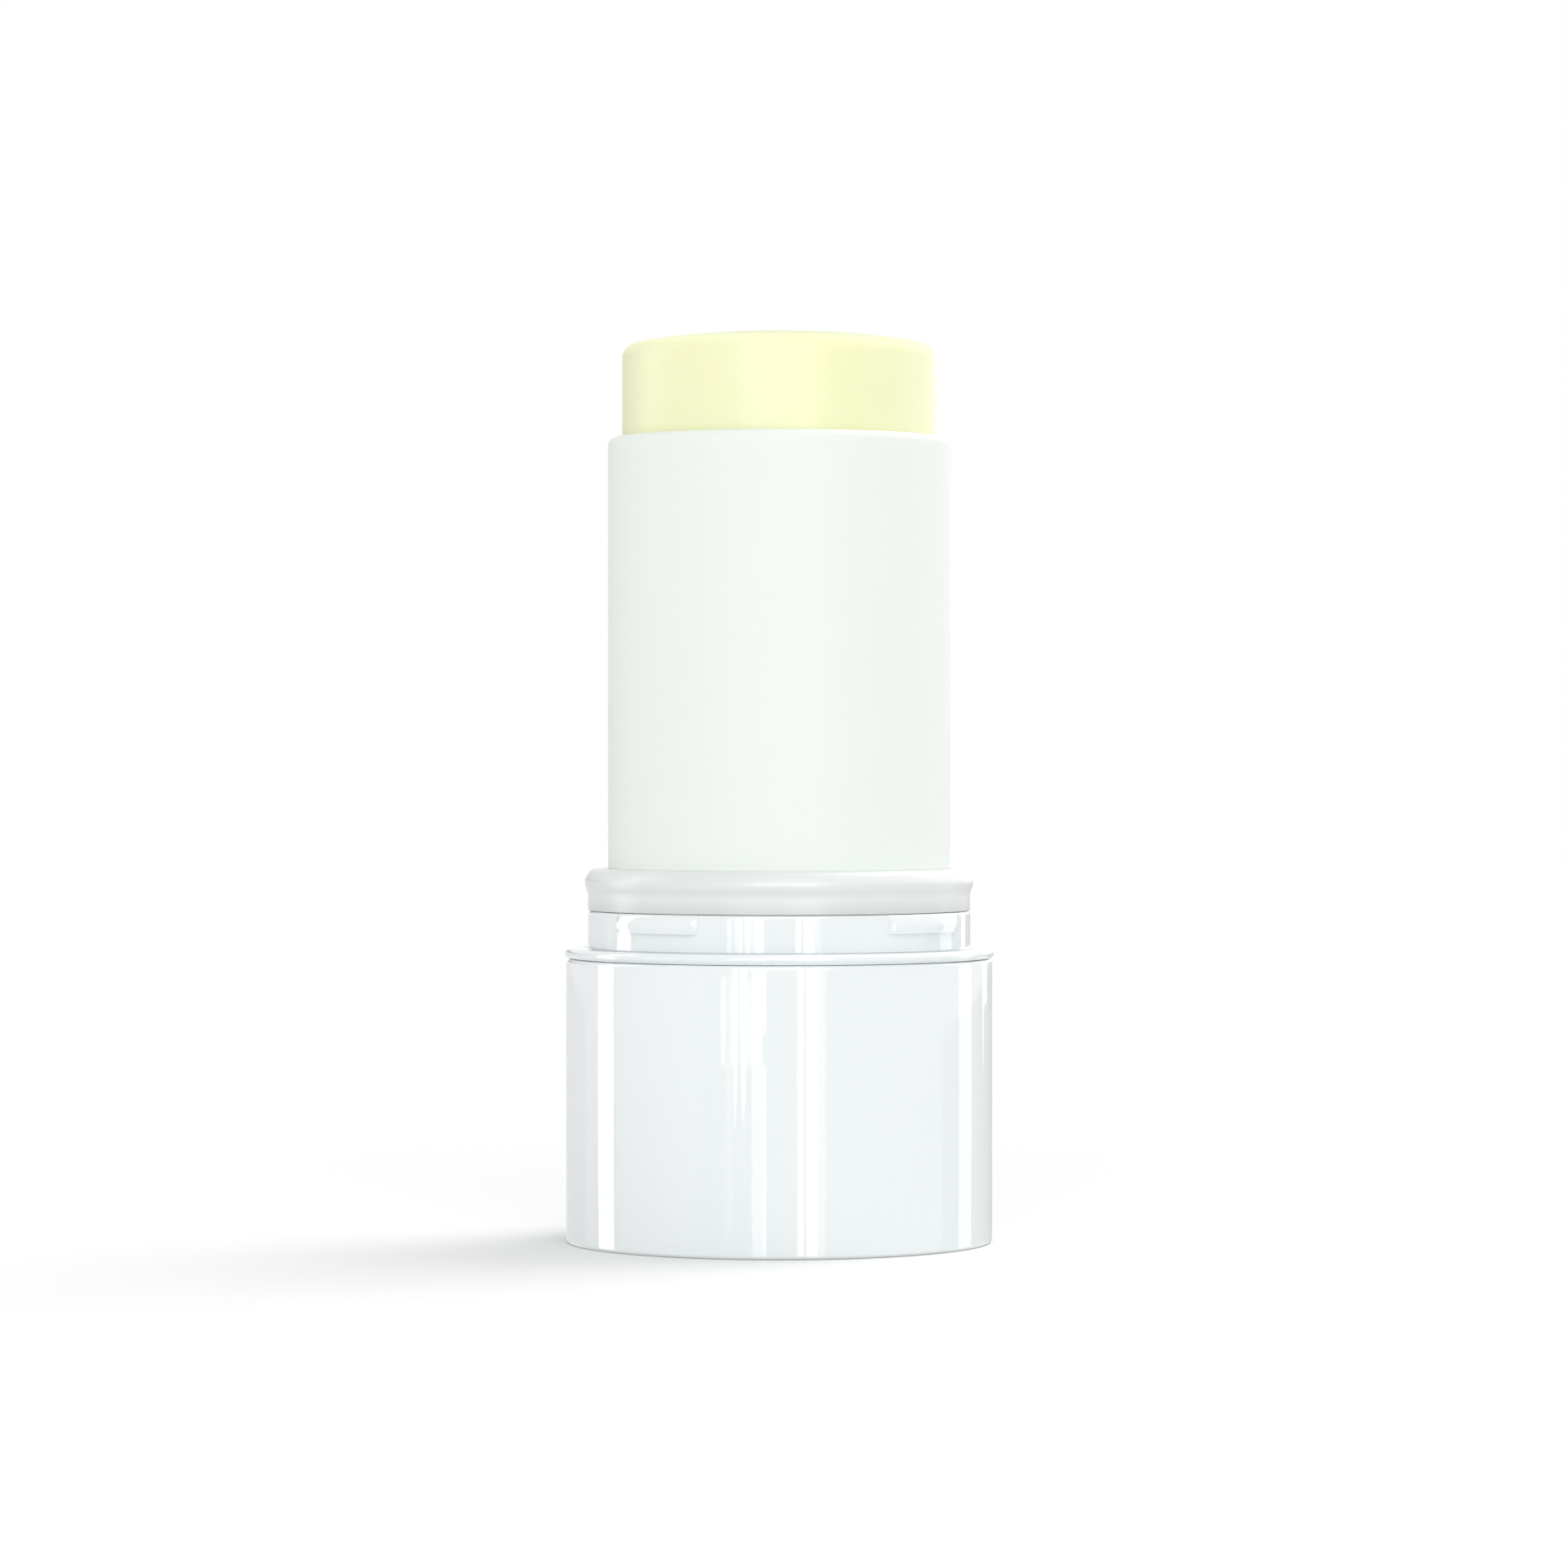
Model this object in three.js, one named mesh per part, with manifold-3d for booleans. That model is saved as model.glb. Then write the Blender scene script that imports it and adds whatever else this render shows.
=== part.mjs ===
// A twist-up sunscreen stick with its cap off, standing on its base.
// Millimetres, +Z up, origin at the centre of the foot. The front faces -Y.
// Turning the barrel on the base drives the elevator along the fixed spindle, which lifts the stick.
import * as THREE from "three";
import { mergeVertices } from "three/addons/utils/BufferGeometryUtils.js";
import Module from "manifold-3d";

const wasm = await Module();
wasm.setup();

// Barrel: the visible tube and its hidden lower end
const BARREL_DIAMETER = 26.5;
const BARREL_WALL = 1.0;
const BARREL_RIM_RADIUS = 0.6;
const BARREL_STEP = 0.25; // the hidden lower tube is this much wider, and the collar sits on the step
const BARREL_FLOOR = 1.2;
const HUB_DROP = 1.4; // boss round the spindle, below the barrel's floor
const HUB_WALL = 1.9;
const KEYWAY_WIDTH = 3.0;
const KEYWAY_DEPTH = 0.45;

// Walls outside the barrel
const NECK_WALL = 1.05;
const GROOVE_WALL = 0.54; // of the sleeve, behind the drag ring's groove
const SHELL_WALL = 1.3;

// Base shell
const SHELL_HEIGHT = 21.9;
const SHELL_FLOOR = 1.4;
const SHELL_EDGE_RADIUS = 0.35;
const FOOT_RECESS = 0.6;
const FOOT_WIDTH = 3.5;

// Shoulder ring between the shell and the neck
const RING_HEIGHT = 0.8;
const RING_PROUD = 0.12;
const RING_SKIRT_WALL = 0.55;
const RING_SKIRT_DEPTH = 1.9;
const RING_INNER_BEVEL = 0.2;

// Neck with the lugs that hold a cap
const NECK_HEIGHT = 2.7;
const NECK_EDGE_RADIUS = 0.2;
const NECK_RELIEF = 0.15;
const LUG_COUNT = 4;
const LUG_OUT = 0.35;
const LUG_HEIGHT = 1.25;
const LUG_DROP = 0.1; // below the neck's top edge
const LUG_SPAN_DEGREES = 31;
const LUG_TURN_DEGREES = 4.8; // how far the lugs are turned from the diagonals

// Seal collar on the barrel, from its bottom up
const COLLAR_EDGE = 0.12;
const COLLAR_SKIRT = 1.07; // straight lower part
const COLLAR_FLARE = 1.19; // from the straight part to the bead's widest line
const COLLAR_CROWN = 0.89; // from there to the flat top
const BEAD_OUT = 0.25; // the bead stands this far outside the neck
const BEAD_ROUND = 0.58; // width of the rounding on top of the bead

// Sleeve floor, spindle foot and what turns on it
const CLIP_SPACE = 1.4; // room under the sleeve's floor
const SLEEVE_FLOOR = 1.4;
const HEX_RADIUS = 4.0;
const TAIL_RADIUS = 2.0;
const CLIP_WIDTH = 2.9;
const CLIP_THICKNESS = 0.5;
const CLIP_SLOTS = 6;
const CLIP_SLOT_WIDTH = 0.9;
const CLIP_SLOT_LENGTH = 1.3;
const FLANGE_RADIUS = 6.0;
const FLANGE_HEIGHT = 1.1;
const WASHER_THICKNESS = 0.6;
const DRIVE_RIB_COUNT = 4;
const DRIVE_RIB_WIDTH = 1.6;
const DRIVE_RIB_HEIGHT = 1.0;

// Snap beads and the two rubber rings
const SNAP_OUT = 0.3;
const SNAP_HEIGHT = 0.9;
const SHELL_SNAP_UP = 2.5; // sleeve bead above the sleeve's floor
const BARREL_SNAP_UP = 1.6; // barrel bead above the barrel's underside
const DRAG_RING_SECTION = 0.84;
const SPINDLE_SEAL_SECTION = 0.8;

// Screw thread of the spindle and the elevator
const THREAD_LEAD = 8;
const THREAD_STARTS = 2;
const THREAD_CORE_RADIUS = 2.4;
const THREAD_DEPTH = 0.8;
const THREAD_CREST_SHARE = 0.3; // of the angle that one start takes
const THREAD_FLANK_SHARE = 0.2;
const NUT_GRIP_AT_TOP = 3.2; // thread still inside the nut when the elevator is fully up
const TIP_HEIGHT = 0.8;

// Elevator that carries the stick
const NUT_LENGTH = 5.4;
const NUT_WALL = 1.8;
const PLATE_THICKNESS = 1.3;
const SKIRT_RAISED = 1.2; // above the nut's lower end
const SKIRT_WALL = 0.9;
const CUP_RIM_HEIGHT = 1.2;
const POST_HEIGHT = 3.0;
const POST_WALL = 1.0;
const FIN_COUNT = 4;
const FIN_WIDTH = 0.9;
const FIN_HEIGHT = 2.2;
const FIN_ROOM = 2.5; // from a fin's end to the cup's rim

// Stick of sunscreen and its travel
const STICK_LENGTH = 43.95;
const STICK_DOME_RADIUS = 72;
const STICK_EDGE_RADIUS = 1.1;
const BORE_ROOM = 0.8; // past the spindle's tip when the stick is fully down
const RETRACT_DEPTH = 1.85; // stick's top below the barrel's rim when fully down
const PLATE_BELOW_RIM = 3.86; // elevator's plate below the barrel's rim when fully up
const LIFT_AT_REST = 10; // of the travel, as the object is shown

// Clearances
const RUN_GAP = 0.25; // barrel to sleeve
const HUB_GAP = 0.2; // spindle to hub
const SEAL_GAP = 0.12; // rubber ring to the piece that turns on it
const PRESS_GAP = 0.1; // pieces pressed together
const SEAT_GAP = 0.06; // faces that rest on each other
const STICK_GAP = 0.1; // stick and elevator to the barrel's bore
const THREAD_GAP = 0.25;
const KEY_GAP = 0.15;
const COLLAR_GAP = 0.2; // collar to the neck below it
const STOP_GAP = 0.3; // left at each end of the travel
const CAP_GAP = 0.15; // seat of a cap to what stands above it

// Facets
const AROUND = 36;
const AROUND_SPINDLE = 24;
const ARC_STEPS = 1;
const FINE_ARC_STEPS = 2;
const RUBBER_SIDES = 6;
const THREAD_STEPS_PER_TURN = 12;

// Radii that follow
const barrelRadius = BARREL_DIAMETER / 2;
const boreRadius = barrelRadius - BARREL_WALL;
const lowerRadius = barrelRadius + BARREL_STEP;
const sleeveBore = lowerRadius + RUN_GAP;
const neckRadius = sleeveBore + NECK_WALL;
const dragGrooveRadius = lowerRadius + SEAL_GAP + DRAG_RING_SECTION + PRESS_GAP;
const sleeveRadius = dragGrooveRadius + GROOVE_WALL;
const shellBore = sleeveRadius + PRESS_GAP;
const shellRadius = shellBore + SHELL_WALL;
const ringBore = neckRadius + PRESS_GAP;
const ringSkirtRadius = ringBore + RING_SKIRT_WALL;
const ringRadius = shellRadius + RING_PROUD;
const lugRadius = neckRadius + LUG_OUT;
const beadRadius = neckRadius + BEAD_OUT;
const capSeatRadius = Math.max(lugRadius, beadRadius) + CAP_GAP;
const threadRadius = THREAD_CORE_RADIUS + THREAD_DEPTH;
const journalRadius = threadRadius + HUB_GAP;
const hubBore = journalRadius + HUB_GAP;
const hubRadius = hubBore + HUB_WALL;
const nutRadius = threadRadius + THREAD_GAP + NUT_WALL;
const postRadius = threadRadius + THREAD_GAP + POST_WALL;
const stickRadius = boreRadius - STICK_GAP;
const cupRadius = stickRadius - SKIRT_WALL;
const keyRadius = boreRadius + KEYWAY_DEPTH - KEY_GAP;

// Heights that follow, from the foot up, with the elevator fully down
const shellFloorTop = FOOT_RECESS + SHELL_FLOOR;
const sleeveBottom = shellFloorTop + SEAT_GAP;
const sleeveFloorBottom = sleeveBottom + CLIP_SPACE;
const sleeveFloorTop = sleeveFloorBottom + SLEEVE_FLOOR;
const flangeBottom = sleeveFloorTop + SEAT_GAP;
const flangeTop = flangeBottom + FLANGE_HEIGHT;
const washerBottom = flangeTop + SEAT_GAP;
const washerTop = washerBottom + WASHER_THICKNESS;
const hubBottom = washerTop + SEAT_GAP;
const barrelBottom = hubBottom + HUB_DROP;
const barrelFloorTop = barrelBottom + BARREL_FLOOR;
const nutBottomDown = barrelFloorTop + STOP_GAP;
const plateTopDown = nutBottomDown + NUT_LENGTH + PLATE_THICKNESS;
const stickBottomDown = plateTopDown + SEAT_GAP;
const barrelTop = stickBottomDown + STICK_LENGTH + RETRACT_DEPTH;
const travel = barrelTop - PLATE_BELOW_RIM - plateTopDown;
const keywayTop = plateTopDown - PLATE_THICKNESS + travel + STOP_GAP;
const threadTop = nutBottomDown + travel + NUT_GRIP_AT_TOP;
const tipTop = threadTop + TIP_HEIGHT;

// Heights of the outside, from the shell's rim up
const ringBottom = SHELL_HEIGHT + SEAT_GAP;
const ringTop = ringBottom + RING_HEIGHT;
const ringSkirtBottom = ringBottom - RING_SKIRT_DEPTH;
const ringSeat = ringSkirtBottom - SEAT_GAP;
const neckTop = ringTop + NECK_HEIGHT;
const collarBottom = neckTop + COLLAR_GAP;
const barrelStepHeight = collarBottom - SEAT_GAP;

// Heights of the snap beads and rubber rings, at their middles
const shellSnapHeight = sleeveFloorTop + SHELL_SNAP_UP;
const barrelSnapHeight = barrelBottom + BARREL_SNAP_UP;
const dragRingHeight = (barrelSnapHeight + ringSkirtBottom) / 2;
const spindleSealHeight = (hubBottom + barrelFloorTop) / 2;

// Materials
function plastic(color, roughness) {
  return new THREE.MeshStandardMaterial({ color, roughness, metalness: 0 });
}
const GLOSS_WHITE = plastic(0xeef2f3, 0.08);
const SATIN_WHITE = plastic(0xe9ebea, 0.4);
const FROST_WHITE = plastic(0xf0f5f0, 0.45);
const NATURAL_ACETAL = plastic(0xe8e6dc, 0.4);
const SILICONE = plastic(0xdcdcd8, 0.6);
const SUNSCREEN = plastic(0xf6f8c4, 0.35);
const SPRING_STEEL = new THREE.MeshStandardMaterial({ color: 0xb9bcc0, roughness: 0.3, metalness: 1 });

// Solids: a closed geometry becomes a solid that can be joined and cut, and a geometry again
function solidOf(geometry) {
  const bare = geometry.clone();
  bare.deleteAttribute("normal");
  bare.deleteAttribute("uv");
  const merged = mergeVertices(bare);
  const vertProperties = new Float32Array(merged.getAttribute("position").array);
  const triVerts = new Uint32Array(merged.index.array);
  return new wasm.Manifold(new wasm.Mesh({ numProp: 3, vertProperties, triVerts }));
}

function geometryOf(solid) {
  const { vertProperties, triVerts } = solid.getMesh();
  const geometry = new THREE.BufferGeometry();
  geometry.setAttribute("position", new THREE.BufferAttribute(vertProperties, 3));
  geometry.setIndex(new THREE.BufferAttribute(triVerts, 1));
  geometry.computeVertexNormals();
  return geometry;
}

function joined(geometry, additions) {
  return geometryOf(additions.reduce((solid, extra) => solid.add(solidOf(extra)), solidOf(geometry)));
}

function cut(geometry, tools) {
  return geometryOf(tools.reduce((solid, tool) => solid.subtract(solidOf(tool)), solidOf(geometry)));
}

// An outline of (radius, height) points, drawn anticlockwise, is closed and turned about Z
function turned(outline, around = AROUND, arcSteps = ARC_STEPS) {
  const points = outline.closePath().getPoints(arcSteps);
  return new THREE.LatheGeometry(points, around).rotateX(Math.PI / 2);
}

function lineThrough(outline, points) {
  points.forEach(([radius, height]) => outline.lineTo(radius, height));
  return outline;
}

function outlineOf([first, ...others]) {
  return lineThrough(new THREE.Path().moveTo(...first), others);
}

// A snap bead or its groove on a wall, as outline points from its lower end to its upper end
function snapOutline(radius, middle, height) {
  const half = height / 2;
  const out = radius + SNAP_OUT;
  return [
    [radius, middle - half],
    [out, middle - half / 2],
    [out, middle + half / 2],
    [radius, middle + half],
  ];
}

// Blocks that reach out from the axis, spaced evenly from a first angle off +X
function spokes(count, inner, outer, width, bottom, top, firstAngle = 0) {
  return Array.from({ length: count }, (_, i) => {
    const block = new THREE.BoxGeometry(outer - inner, width, top - bottom);
    block.translate((inner + outer) / 2, 0, (bottom + top) / 2);
    return block.rotateZ(firstAngle + (i * 2 * Math.PI) / count);
  });
}

function hexagon(radius, bottom, top) {
  const prism = new THREE.CylinderGeometry(radius, radius, top - bottom, 6);
  return prism.rotateX(Math.PI / 2).translate(0, 0, (bottom + top) / 2);
}

function flatRing(inner, outer, bottom, top) {
  return turned(outlineOf([[inner, bottom], [outer, bottom], [outer, top], [inner, top]]), AROUND_SPINDLE);
}

function rubberRing(middleRadius, section, height, around) {
  const outline = new THREE.Path().absarc(middleRadius, height, section / 2, 0, 2 * Math.PI);
  return turned(outline, around, RUBBER_SIDES / 2);
}

// A screw is its cross-section, extruded and twisted by the lead. A gap widens it into a cutter.
function screw(bottom, top, gap = 0) {
  const period = (2 * Math.PI) / THREAD_STARTS;
  const gapAngle = (gap / THREAD_LEAD) * 2 * Math.PI;
  const crestHalf = (period * THREAD_CREST_SHARE) / 2 + gapAngle;
  const rootHalf = period / 2 - crestHalf - period * THREAD_FLANK_SHARE;
  const section = new THREE.Shape();
  for (let start = 0; start < THREAD_STARTS; start++) {
    const crest = start * period;
    const root = crest + period / 2;
    section.absarc(0, 0, threadRadius + gap, crest - crestHalf, crest + crestHalf);
    section.absarc(0, 0, THREAD_CORE_RADIUS + gap, root - rootHalf, root + rootHalf);
  }
  const depth = top - bottom;
  const steps = Math.ceil((depth / THREAD_LEAD) * THREAD_STEPS_PER_TURN);
  const options = { depth, steps, bevelEnabled: false, curveSegments: ARC_STEPS };
  const rod = new THREE.ExtrudeGeometry(section, options).translate(0, 0, bottom);
  const position = rod.getAttribute("position");
  const point = new THREE.Vector3();
  const axis = new THREE.Vector3(0, 0, 1);
  for (let i = 0; i < position.count; i++) {
    point.fromBufferAttribute(position, i);
    point.applyAxisAngle(axis, (point.z / THREAD_LEAD) * 2 * Math.PI);
    position.setXYZ(i, point.x, point.y, point.z);
  }
  return rod;
}

// Base shell: the glossy cup that is gripped and stands on its foot ring
function baseShell() {
  const edge = SHELL_EDGE_RADIUS;
  const rebate = ringSkirtRadius + PRESS_GAP;
  const outline = outlineOf([
    [0, FOOT_RECESS],
    [shellRadius - FOOT_WIDTH - FOOT_RECESS, FOOT_RECESS],
    [shellRadius - FOOT_WIDTH, 0],
  ]);
  outline.absarc(shellRadius - edge, edge, edge, -Math.PI / 2, 0);
  outline.absarc(shellRadius - edge, SHELL_HEIGHT - edge, edge, 0, Math.PI / 2);
  lineThrough(outline, [
    [rebate, SHELL_HEIGHT],
    [rebate, ringSeat],
    [shellBore, ringSeat],
    ...snapOutline(shellBore, shellSnapHeight, SNAP_HEIGHT + 2 * PRESS_GAP).reverse(),
    [shellBore, shellFloorTop],
    [0, shellFloorTop],
  ]);
  const ribBottom = shellFloorTop - SHELL_FLOOR / 2;
  const ribTop = shellFloorTop + DRIVE_RIB_HEIGHT;
  const ribOuter = shellBore + SHELL_WALL / 2;
  const ribs = spokes(DRIVE_RIB_COUNT, sleeveBore, ribOuter, DRIVE_RIB_WIDTH, ribBottom, ribTop);
  return joined(turned(outline), ribs);
}

// Shoulder ring: a round-edged ring whose skirt is pressed between the shell and the neck
function shoulderRing() {
  const round = RING_HEIGHT / 2;
  const outline = outlineOf([
    [ringBore, ringSkirtBottom],
    [ringSkirtRadius, ringSkirtBottom],
    [ringSkirtRadius, ringBottom],
  ]);
  outline.absarc(ringRadius - round, ringBottom + round, round, -Math.PI / 2, Math.PI / 2);
  lineThrough(outline, [
    [capSeatRadius, ringTop],
    [ringBore, ringTop - RING_INNER_BEVEL],
  ]);
  return turned(outline, AROUND, FINE_ARC_STEPS);
}

// Neck sleeve: the bearing for the barrel, keyed into the shell, with the cap lugs on its neck
function neckSleeve() {
  const edge = NECK_EDGE_RADIUS;
  const dragGrooveHalf = DRAG_RING_SECTION / 2 + PRESS_GAP;
  const outline = outlineOf([
    [0, sleeveFloorBottom],
    [sleeveBore, sleeveFloorBottom],
    [sleeveBore, sleeveBottom],
    [sleeveRadius, sleeveBottom],
    ...snapOutline(sleeveRadius, shellSnapHeight, SNAP_HEIGHT),
    [sleeveRadius, ringSeat],
    [neckRadius, ringSeat],
    [neckRadius, ringTop - RING_INNER_BEVEL],
    [neckRadius - NECK_RELIEF, ringTop - RING_INNER_BEVEL / 2],
    [neckRadius - NECK_RELIEF, ringTop],
    [neckRadius, ringTop + NECK_RELIEF],
  ]);
  outline.absarc(neckRadius - edge, neckTop - edge, edge, 0, Math.PI / 2);
  lineThrough(outline, [
    [sleeveBore, neckTop],
    [sleeveBore, dragRingHeight + dragGrooveHalf],
    [dragGrooveRadius, dragRingHeight + dragGrooveHalf],
    [dragGrooveRadius, dragRingHeight - dragGrooveHalf],
    [sleeveBore, dragRingHeight - dragGrooveHalf],
    ...snapOutline(sleeveBore, barrelSnapHeight, SNAP_HEIGHT + 2 * RUN_GAP).reverse(),
    [sleeveBore, sleeveFloorTop],
    [0, sleeveFloorTop],
  ]);
  const lugs = Array.from({ length: LUG_COUNT }, (_, i) => capLug(i));
  const socketBottom = sleeveFloorBottom - SLEEVE_FLOOR;
  const socket = hexagon(HEX_RADIUS + PRESS_GAP, socketBottom, sleeveFloorTop + SLEEVE_FLOOR);
  const slotInner = sleeveBore - NECK_WALL;
  const slotWidth = DRIVE_RIB_WIDTH + 2 * PRESS_GAP;
  const slotTop = shellFloorTop + DRIVE_RIB_HEIGHT + PRESS_GAP;
  const slots = spokes(DRIVE_RIB_COUNT, slotInner, shellRadius, slotWidth, 0, slotTop);
  return cut(joined(turned(outline), lugs), [socket, ...slots]);
}

// One cap lug: a short curved bar with its middle at its own angle round the neck
function capLug(index) {
  const span = THREE.MathUtils.degToRad(LUG_SPAN_DEGREES);
  const first = THREE.MathUtils.degToRad(LUG_TURN_DEGREES) + Math.PI / 4;
  const middle = first + (index * 2 * Math.PI) / LUG_COUNT;
  const root = neckRadius - NECK_WALL / 2;
  const sector = new THREE.Shape();
  sector.absarc(0, 0, lugRadius, middle - span / 2, middle + span / 2, false);
  sector.absarc(0, 0, root, middle + span / 2, middle - span / 2, true);
  const options = { depth: LUG_HEIGHT, bevelEnabled: false, curveSegments: FINE_ARC_STEPS };
  return new THREE.ExtrudeGeometry(sector, options).translate(0, 0, neckTop - LUG_DROP - LUG_HEIGHT);
}

// Seal collar: a soft ring on the barrel whose round bead seals against a cap
function sealCollar() {
  const inner = barrelRadius + SEAT_GAP;
  const skirtTop = collarBottom + COLLAR_SKIRT;
  const beadHeight = skirtTop + COLLAR_FLARE;
  const bend = COLLAR_FLARE / 2;
  const outline = outlineOf([
    [inner, collarBottom],
    [neckRadius - COLLAR_EDGE, collarBottom],
    [neckRadius, collarBottom + COLLAR_EDGE],
    [neckRadius, skirtTop],
  ]);
  outline.bezierCurveTo(neckRadius, skirtTop + bend, beadRadius, beadHeight - bend, beadRadius, beadHeight);
  outline.absellipse(beadRadius - BEAD_ROUND, beadHeight, BEAD_ROUND, COLLAR_CROWN, 0, Math.PI / 2);
  outline.lineTo(inner, beadHeight + COLLAR_CROWN);
  return turned(outline, AROUND, FINE_ARC_STEPS);
}

// Barrel: the tube that guides the stick, with a hub on the spindle and two blind keyways
function barrel() {
  const rim = BARREL_RIM_RADIUS;
  const lip = (BARREL_WALL - rim) / 2;
  const outline = outlineOf([
    [hubBore, hubBottom],
    [hubRadius, hubBottom],
    [hubRadius, barrelBottom],
    [lowerRadius, barrelBottom],
    ...snapOutline(lowerRadius, barrelSnapHeight, SNAP_HEIGHT),
    [lowerRadius, barrelStepHeight],
    [barrelRadius, barrelStepHeight],
  ]);
  outline.absarc(barrelRadius - rim, barrelTop - rim, rim, 0, Math.PI / 2);
  lineThrough(outline, [
    [boreRadius + lip, barrelTop],
    [boreRadius, barrelTop - lip],
    [boreRadius, barrelFloorTop],
    [hubBore, barrelFloorTop],
  ]);
  const keywayRadius = boreRadius + KEYWAY_DEPTH;
  const keywayBottom = barrelFloorTop + STOP_GAP;
  return cut(turned(outline), spokes(2, cupRadius, keywayRadius, KEYWAY_WIDTH, keywayBottom, keywayTop));
}

// Spindle: hex foot in the sleeve's floor, flange, journal with a seal groove, and the lifting screw
function spindle() {
  const tailBottom = sleeveBottom + SEAT_GAP;
  const grooveRadius = hubBore - SEAL_GAP - SPINDLE_SEAL_SECTION - PRESS_GAP;
  const grooveHalf = SPINDLE_SEAL_SECTION / 2 + PRESS_GAP;
  const tipRadius = THREAD_CORE_RADIUS / 2;
  const body = outlineOf([
    [0, tailBottom],
    [TAIL_RADIUS, tailBottom],
    [TAIL_RADIUS, flangeBottom],
    [FLANGE_RADIUS, flangeBottom],
    [FLANGE_RADIUS, flangeTop],
    [journalRadius, flangeTop],
    [journalRadius, spindleSealHeight - grooveHalf],
    [grooveRadius, spindleSealHeight - grooveHalf],
    [grooveRadius, spindleSealHeight + grooveHalf],
    [journalRadius, spindleSealHeight + grooveHalf],
    [journalRadius, barrelFloorTop],
    [tipRadius, barrelFloorTop],
    [tipRadius, threadTop],
    [tipRadius / 2, tipTop],
    [0, tipTop],
  ]);
  const foot = hexagon(HEX_RADIUS, sleeveFloorBottom + SEAT_GAP, flangeBottom + FLANGE_HEIGHT / 2);
  return joined(turned(body, AROUND_SPINDLE), [foot, screw(barrelFloorTop - STOP_GAP, threadTop)]);
}

// Spindle clip: a slotted spring ring that grips the spindle's tail under the sleeve's floor
function spindleClip() {
  const grip = TAIL_RADIUS + SEAT_GAP;
  const top = sleeveFloorBottom - SEAT_GAP;
  const bottom = top - CLIP_THICKNESS;
  const slotBottom = bottom - CLIP_THICKNESS;
  const slotTop = top + CLIP_THICKNESS;
  const slots = spokes(CLIP_SLOTS, grip / 2, grip + CLIP_SLOT_LENGTH, CLIP_SLOT_WIDTH, slotBottom, slotTop);
  return cut(flatRing(grip, grip + CLIP_WIDTH, bottom, top), slots);
}

// Thrust washer between the spindle's flange and the barrel's hub
function thrustWasher() {
  return flatRing(journalRadius + PRESS_GAP, FLANGE_RADIUS, washerBottom, washerTop);
}

// Drag ring: gives the barrel its firm turn inside the sleeve
function dragRing() {
  const middle = lowerRadius + SEAL_GAP + DRAG_RING_SECTION / 2;
  return rubberRing(middle, DRAG_RING_SECTION, dragRingHeight, AROUND);
}

// Spindle seal: keeps melted sunscreen from running down the spindle
function spindleSeal() {
  const middle = hubBore - SEAL_GAP - SPINDLE_SEAL_SECTION / 2;
  return rubberRing(middle, SPINDLE_SEAL_SECTION, spindleSealHeight, AROUND_SPINDLE);
}

// Fins round the elevator's post grip the sunscreen. A gap widens them into cutters for their slots.
function gripFins(plateTop, gap = 0) {
  const inner = postRadius - POST_WALL / 2;
  const outer = cupRadius - FIN_ROOM + gap;
  const bottom = plateTop - PLATE_THICKNESS / 2;
  const top = plateTop + FIN_HEIGHT + gap;
  return spokes(FIN_COUNT, inner, outer, FIN_WIDTH + 2 * gap, bottom, top, Math.PI / FIN_COUNT);
}

// Elevator: a cup on a nut, with two keys that run in the barrel's keyways
function elevator(plateTop) {
  const plateBottom = plateTop - PLATE_THICKNESS;
  const nutBottom = plateBottom - NUT_LENGTH;
  const skirtBottom = nutBottom + SKIRT_RAISED;
  const rimTop = plateTop + CUP_RIM_HEIGHT;
  const postTop = plateTop + POST_HEIGHT;
  const body = outlineOf([
    [0, nutBottom],
    [nutRadius, nutBottom],
    [nutRadius, plateBottom],
    [cupRadius, plateBottom],
    [cupRadius, skirtBottom],
    [stickRadius, skirtBottom],
    [stickRadius, rimTop],
    [cupRadius, rimTop],
    [cupRadius, plateTop],
    [postRadius, plateTop],
    [postRadius, postTop],
    [0, postTop],
  ]);
  const keyRoot = stickRadius - SKIRT_WALL / 2;
  const keyWidth = KEYWAY_WIDTH - 2 * KEY_GAP;
  const keys = spokes(2, keyRoot, keyRadius, keyWidth, skirtBottom, plateBottom);
  const thread = screw(nutBottom - STOP_GAP, postTop + STOP_GAP, THREAD_GAP);
  return cut(joined(turned(body), [...keys, ...gripFins(plateTop)]), [thread]);
}

// Stick of sunscreen: domed, moulded on the elevator, with a bore that clears the spindle
function sunscreenStick(bottom) {
  const top = bottom + STICK_LENGTH;
  const bore = threadRadius + THREAD_GAP;
  const boreTop = tipTop + BORE_ROOM + bottom - stickBottomDown;
  const postBore = postRadius + PRESS_GAP;
  const postTop = bottom + POST_HEIGHT + PRESS_GAP;
  const footRadius = cupRadius - PRESS_GAP;
  const rimTop = bottom + CUP_RIM_HEIGHT + PRESS_GAP;
  const domeMiddle = top - STICK_DOME_RADIUS;
  const edgeRadius = stickRadius - STICK_EDGE_RADIUS;
  const reach = STICK_DOME_RADIUS - STICK_EDGE_RADIUS;
  const edgeHeight = domeMiddle + Math.sqrt(reach ** 2 - edgeRadius ** 2);
  const meeting = Math.acos(edgeRadius / reach);
  const outline = outlineOf([
    [0, boreTop],
    [bore, boreTop],
    [bore, postTop],
    [postBore, postTop],
    [postBore, bottom],
    [footRadius, bottom],
    [footRadius, rimTop],
    [stickRadius, rimTop],
  ]);
  outline.absarc(edgeRadius, edgeHeight, STICK_EDGE_RADIUS, 0, meeting);
  outline.absarc(0, domeMiddle, STICK_DOME_RADIUS, meeting, Math.PI / 2);
  return cut(turned(outline, AROUND, FINE_ARC_STEPS), gripFins(bottom - SEAT_GAP, PRESS_GAP));
}

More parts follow.
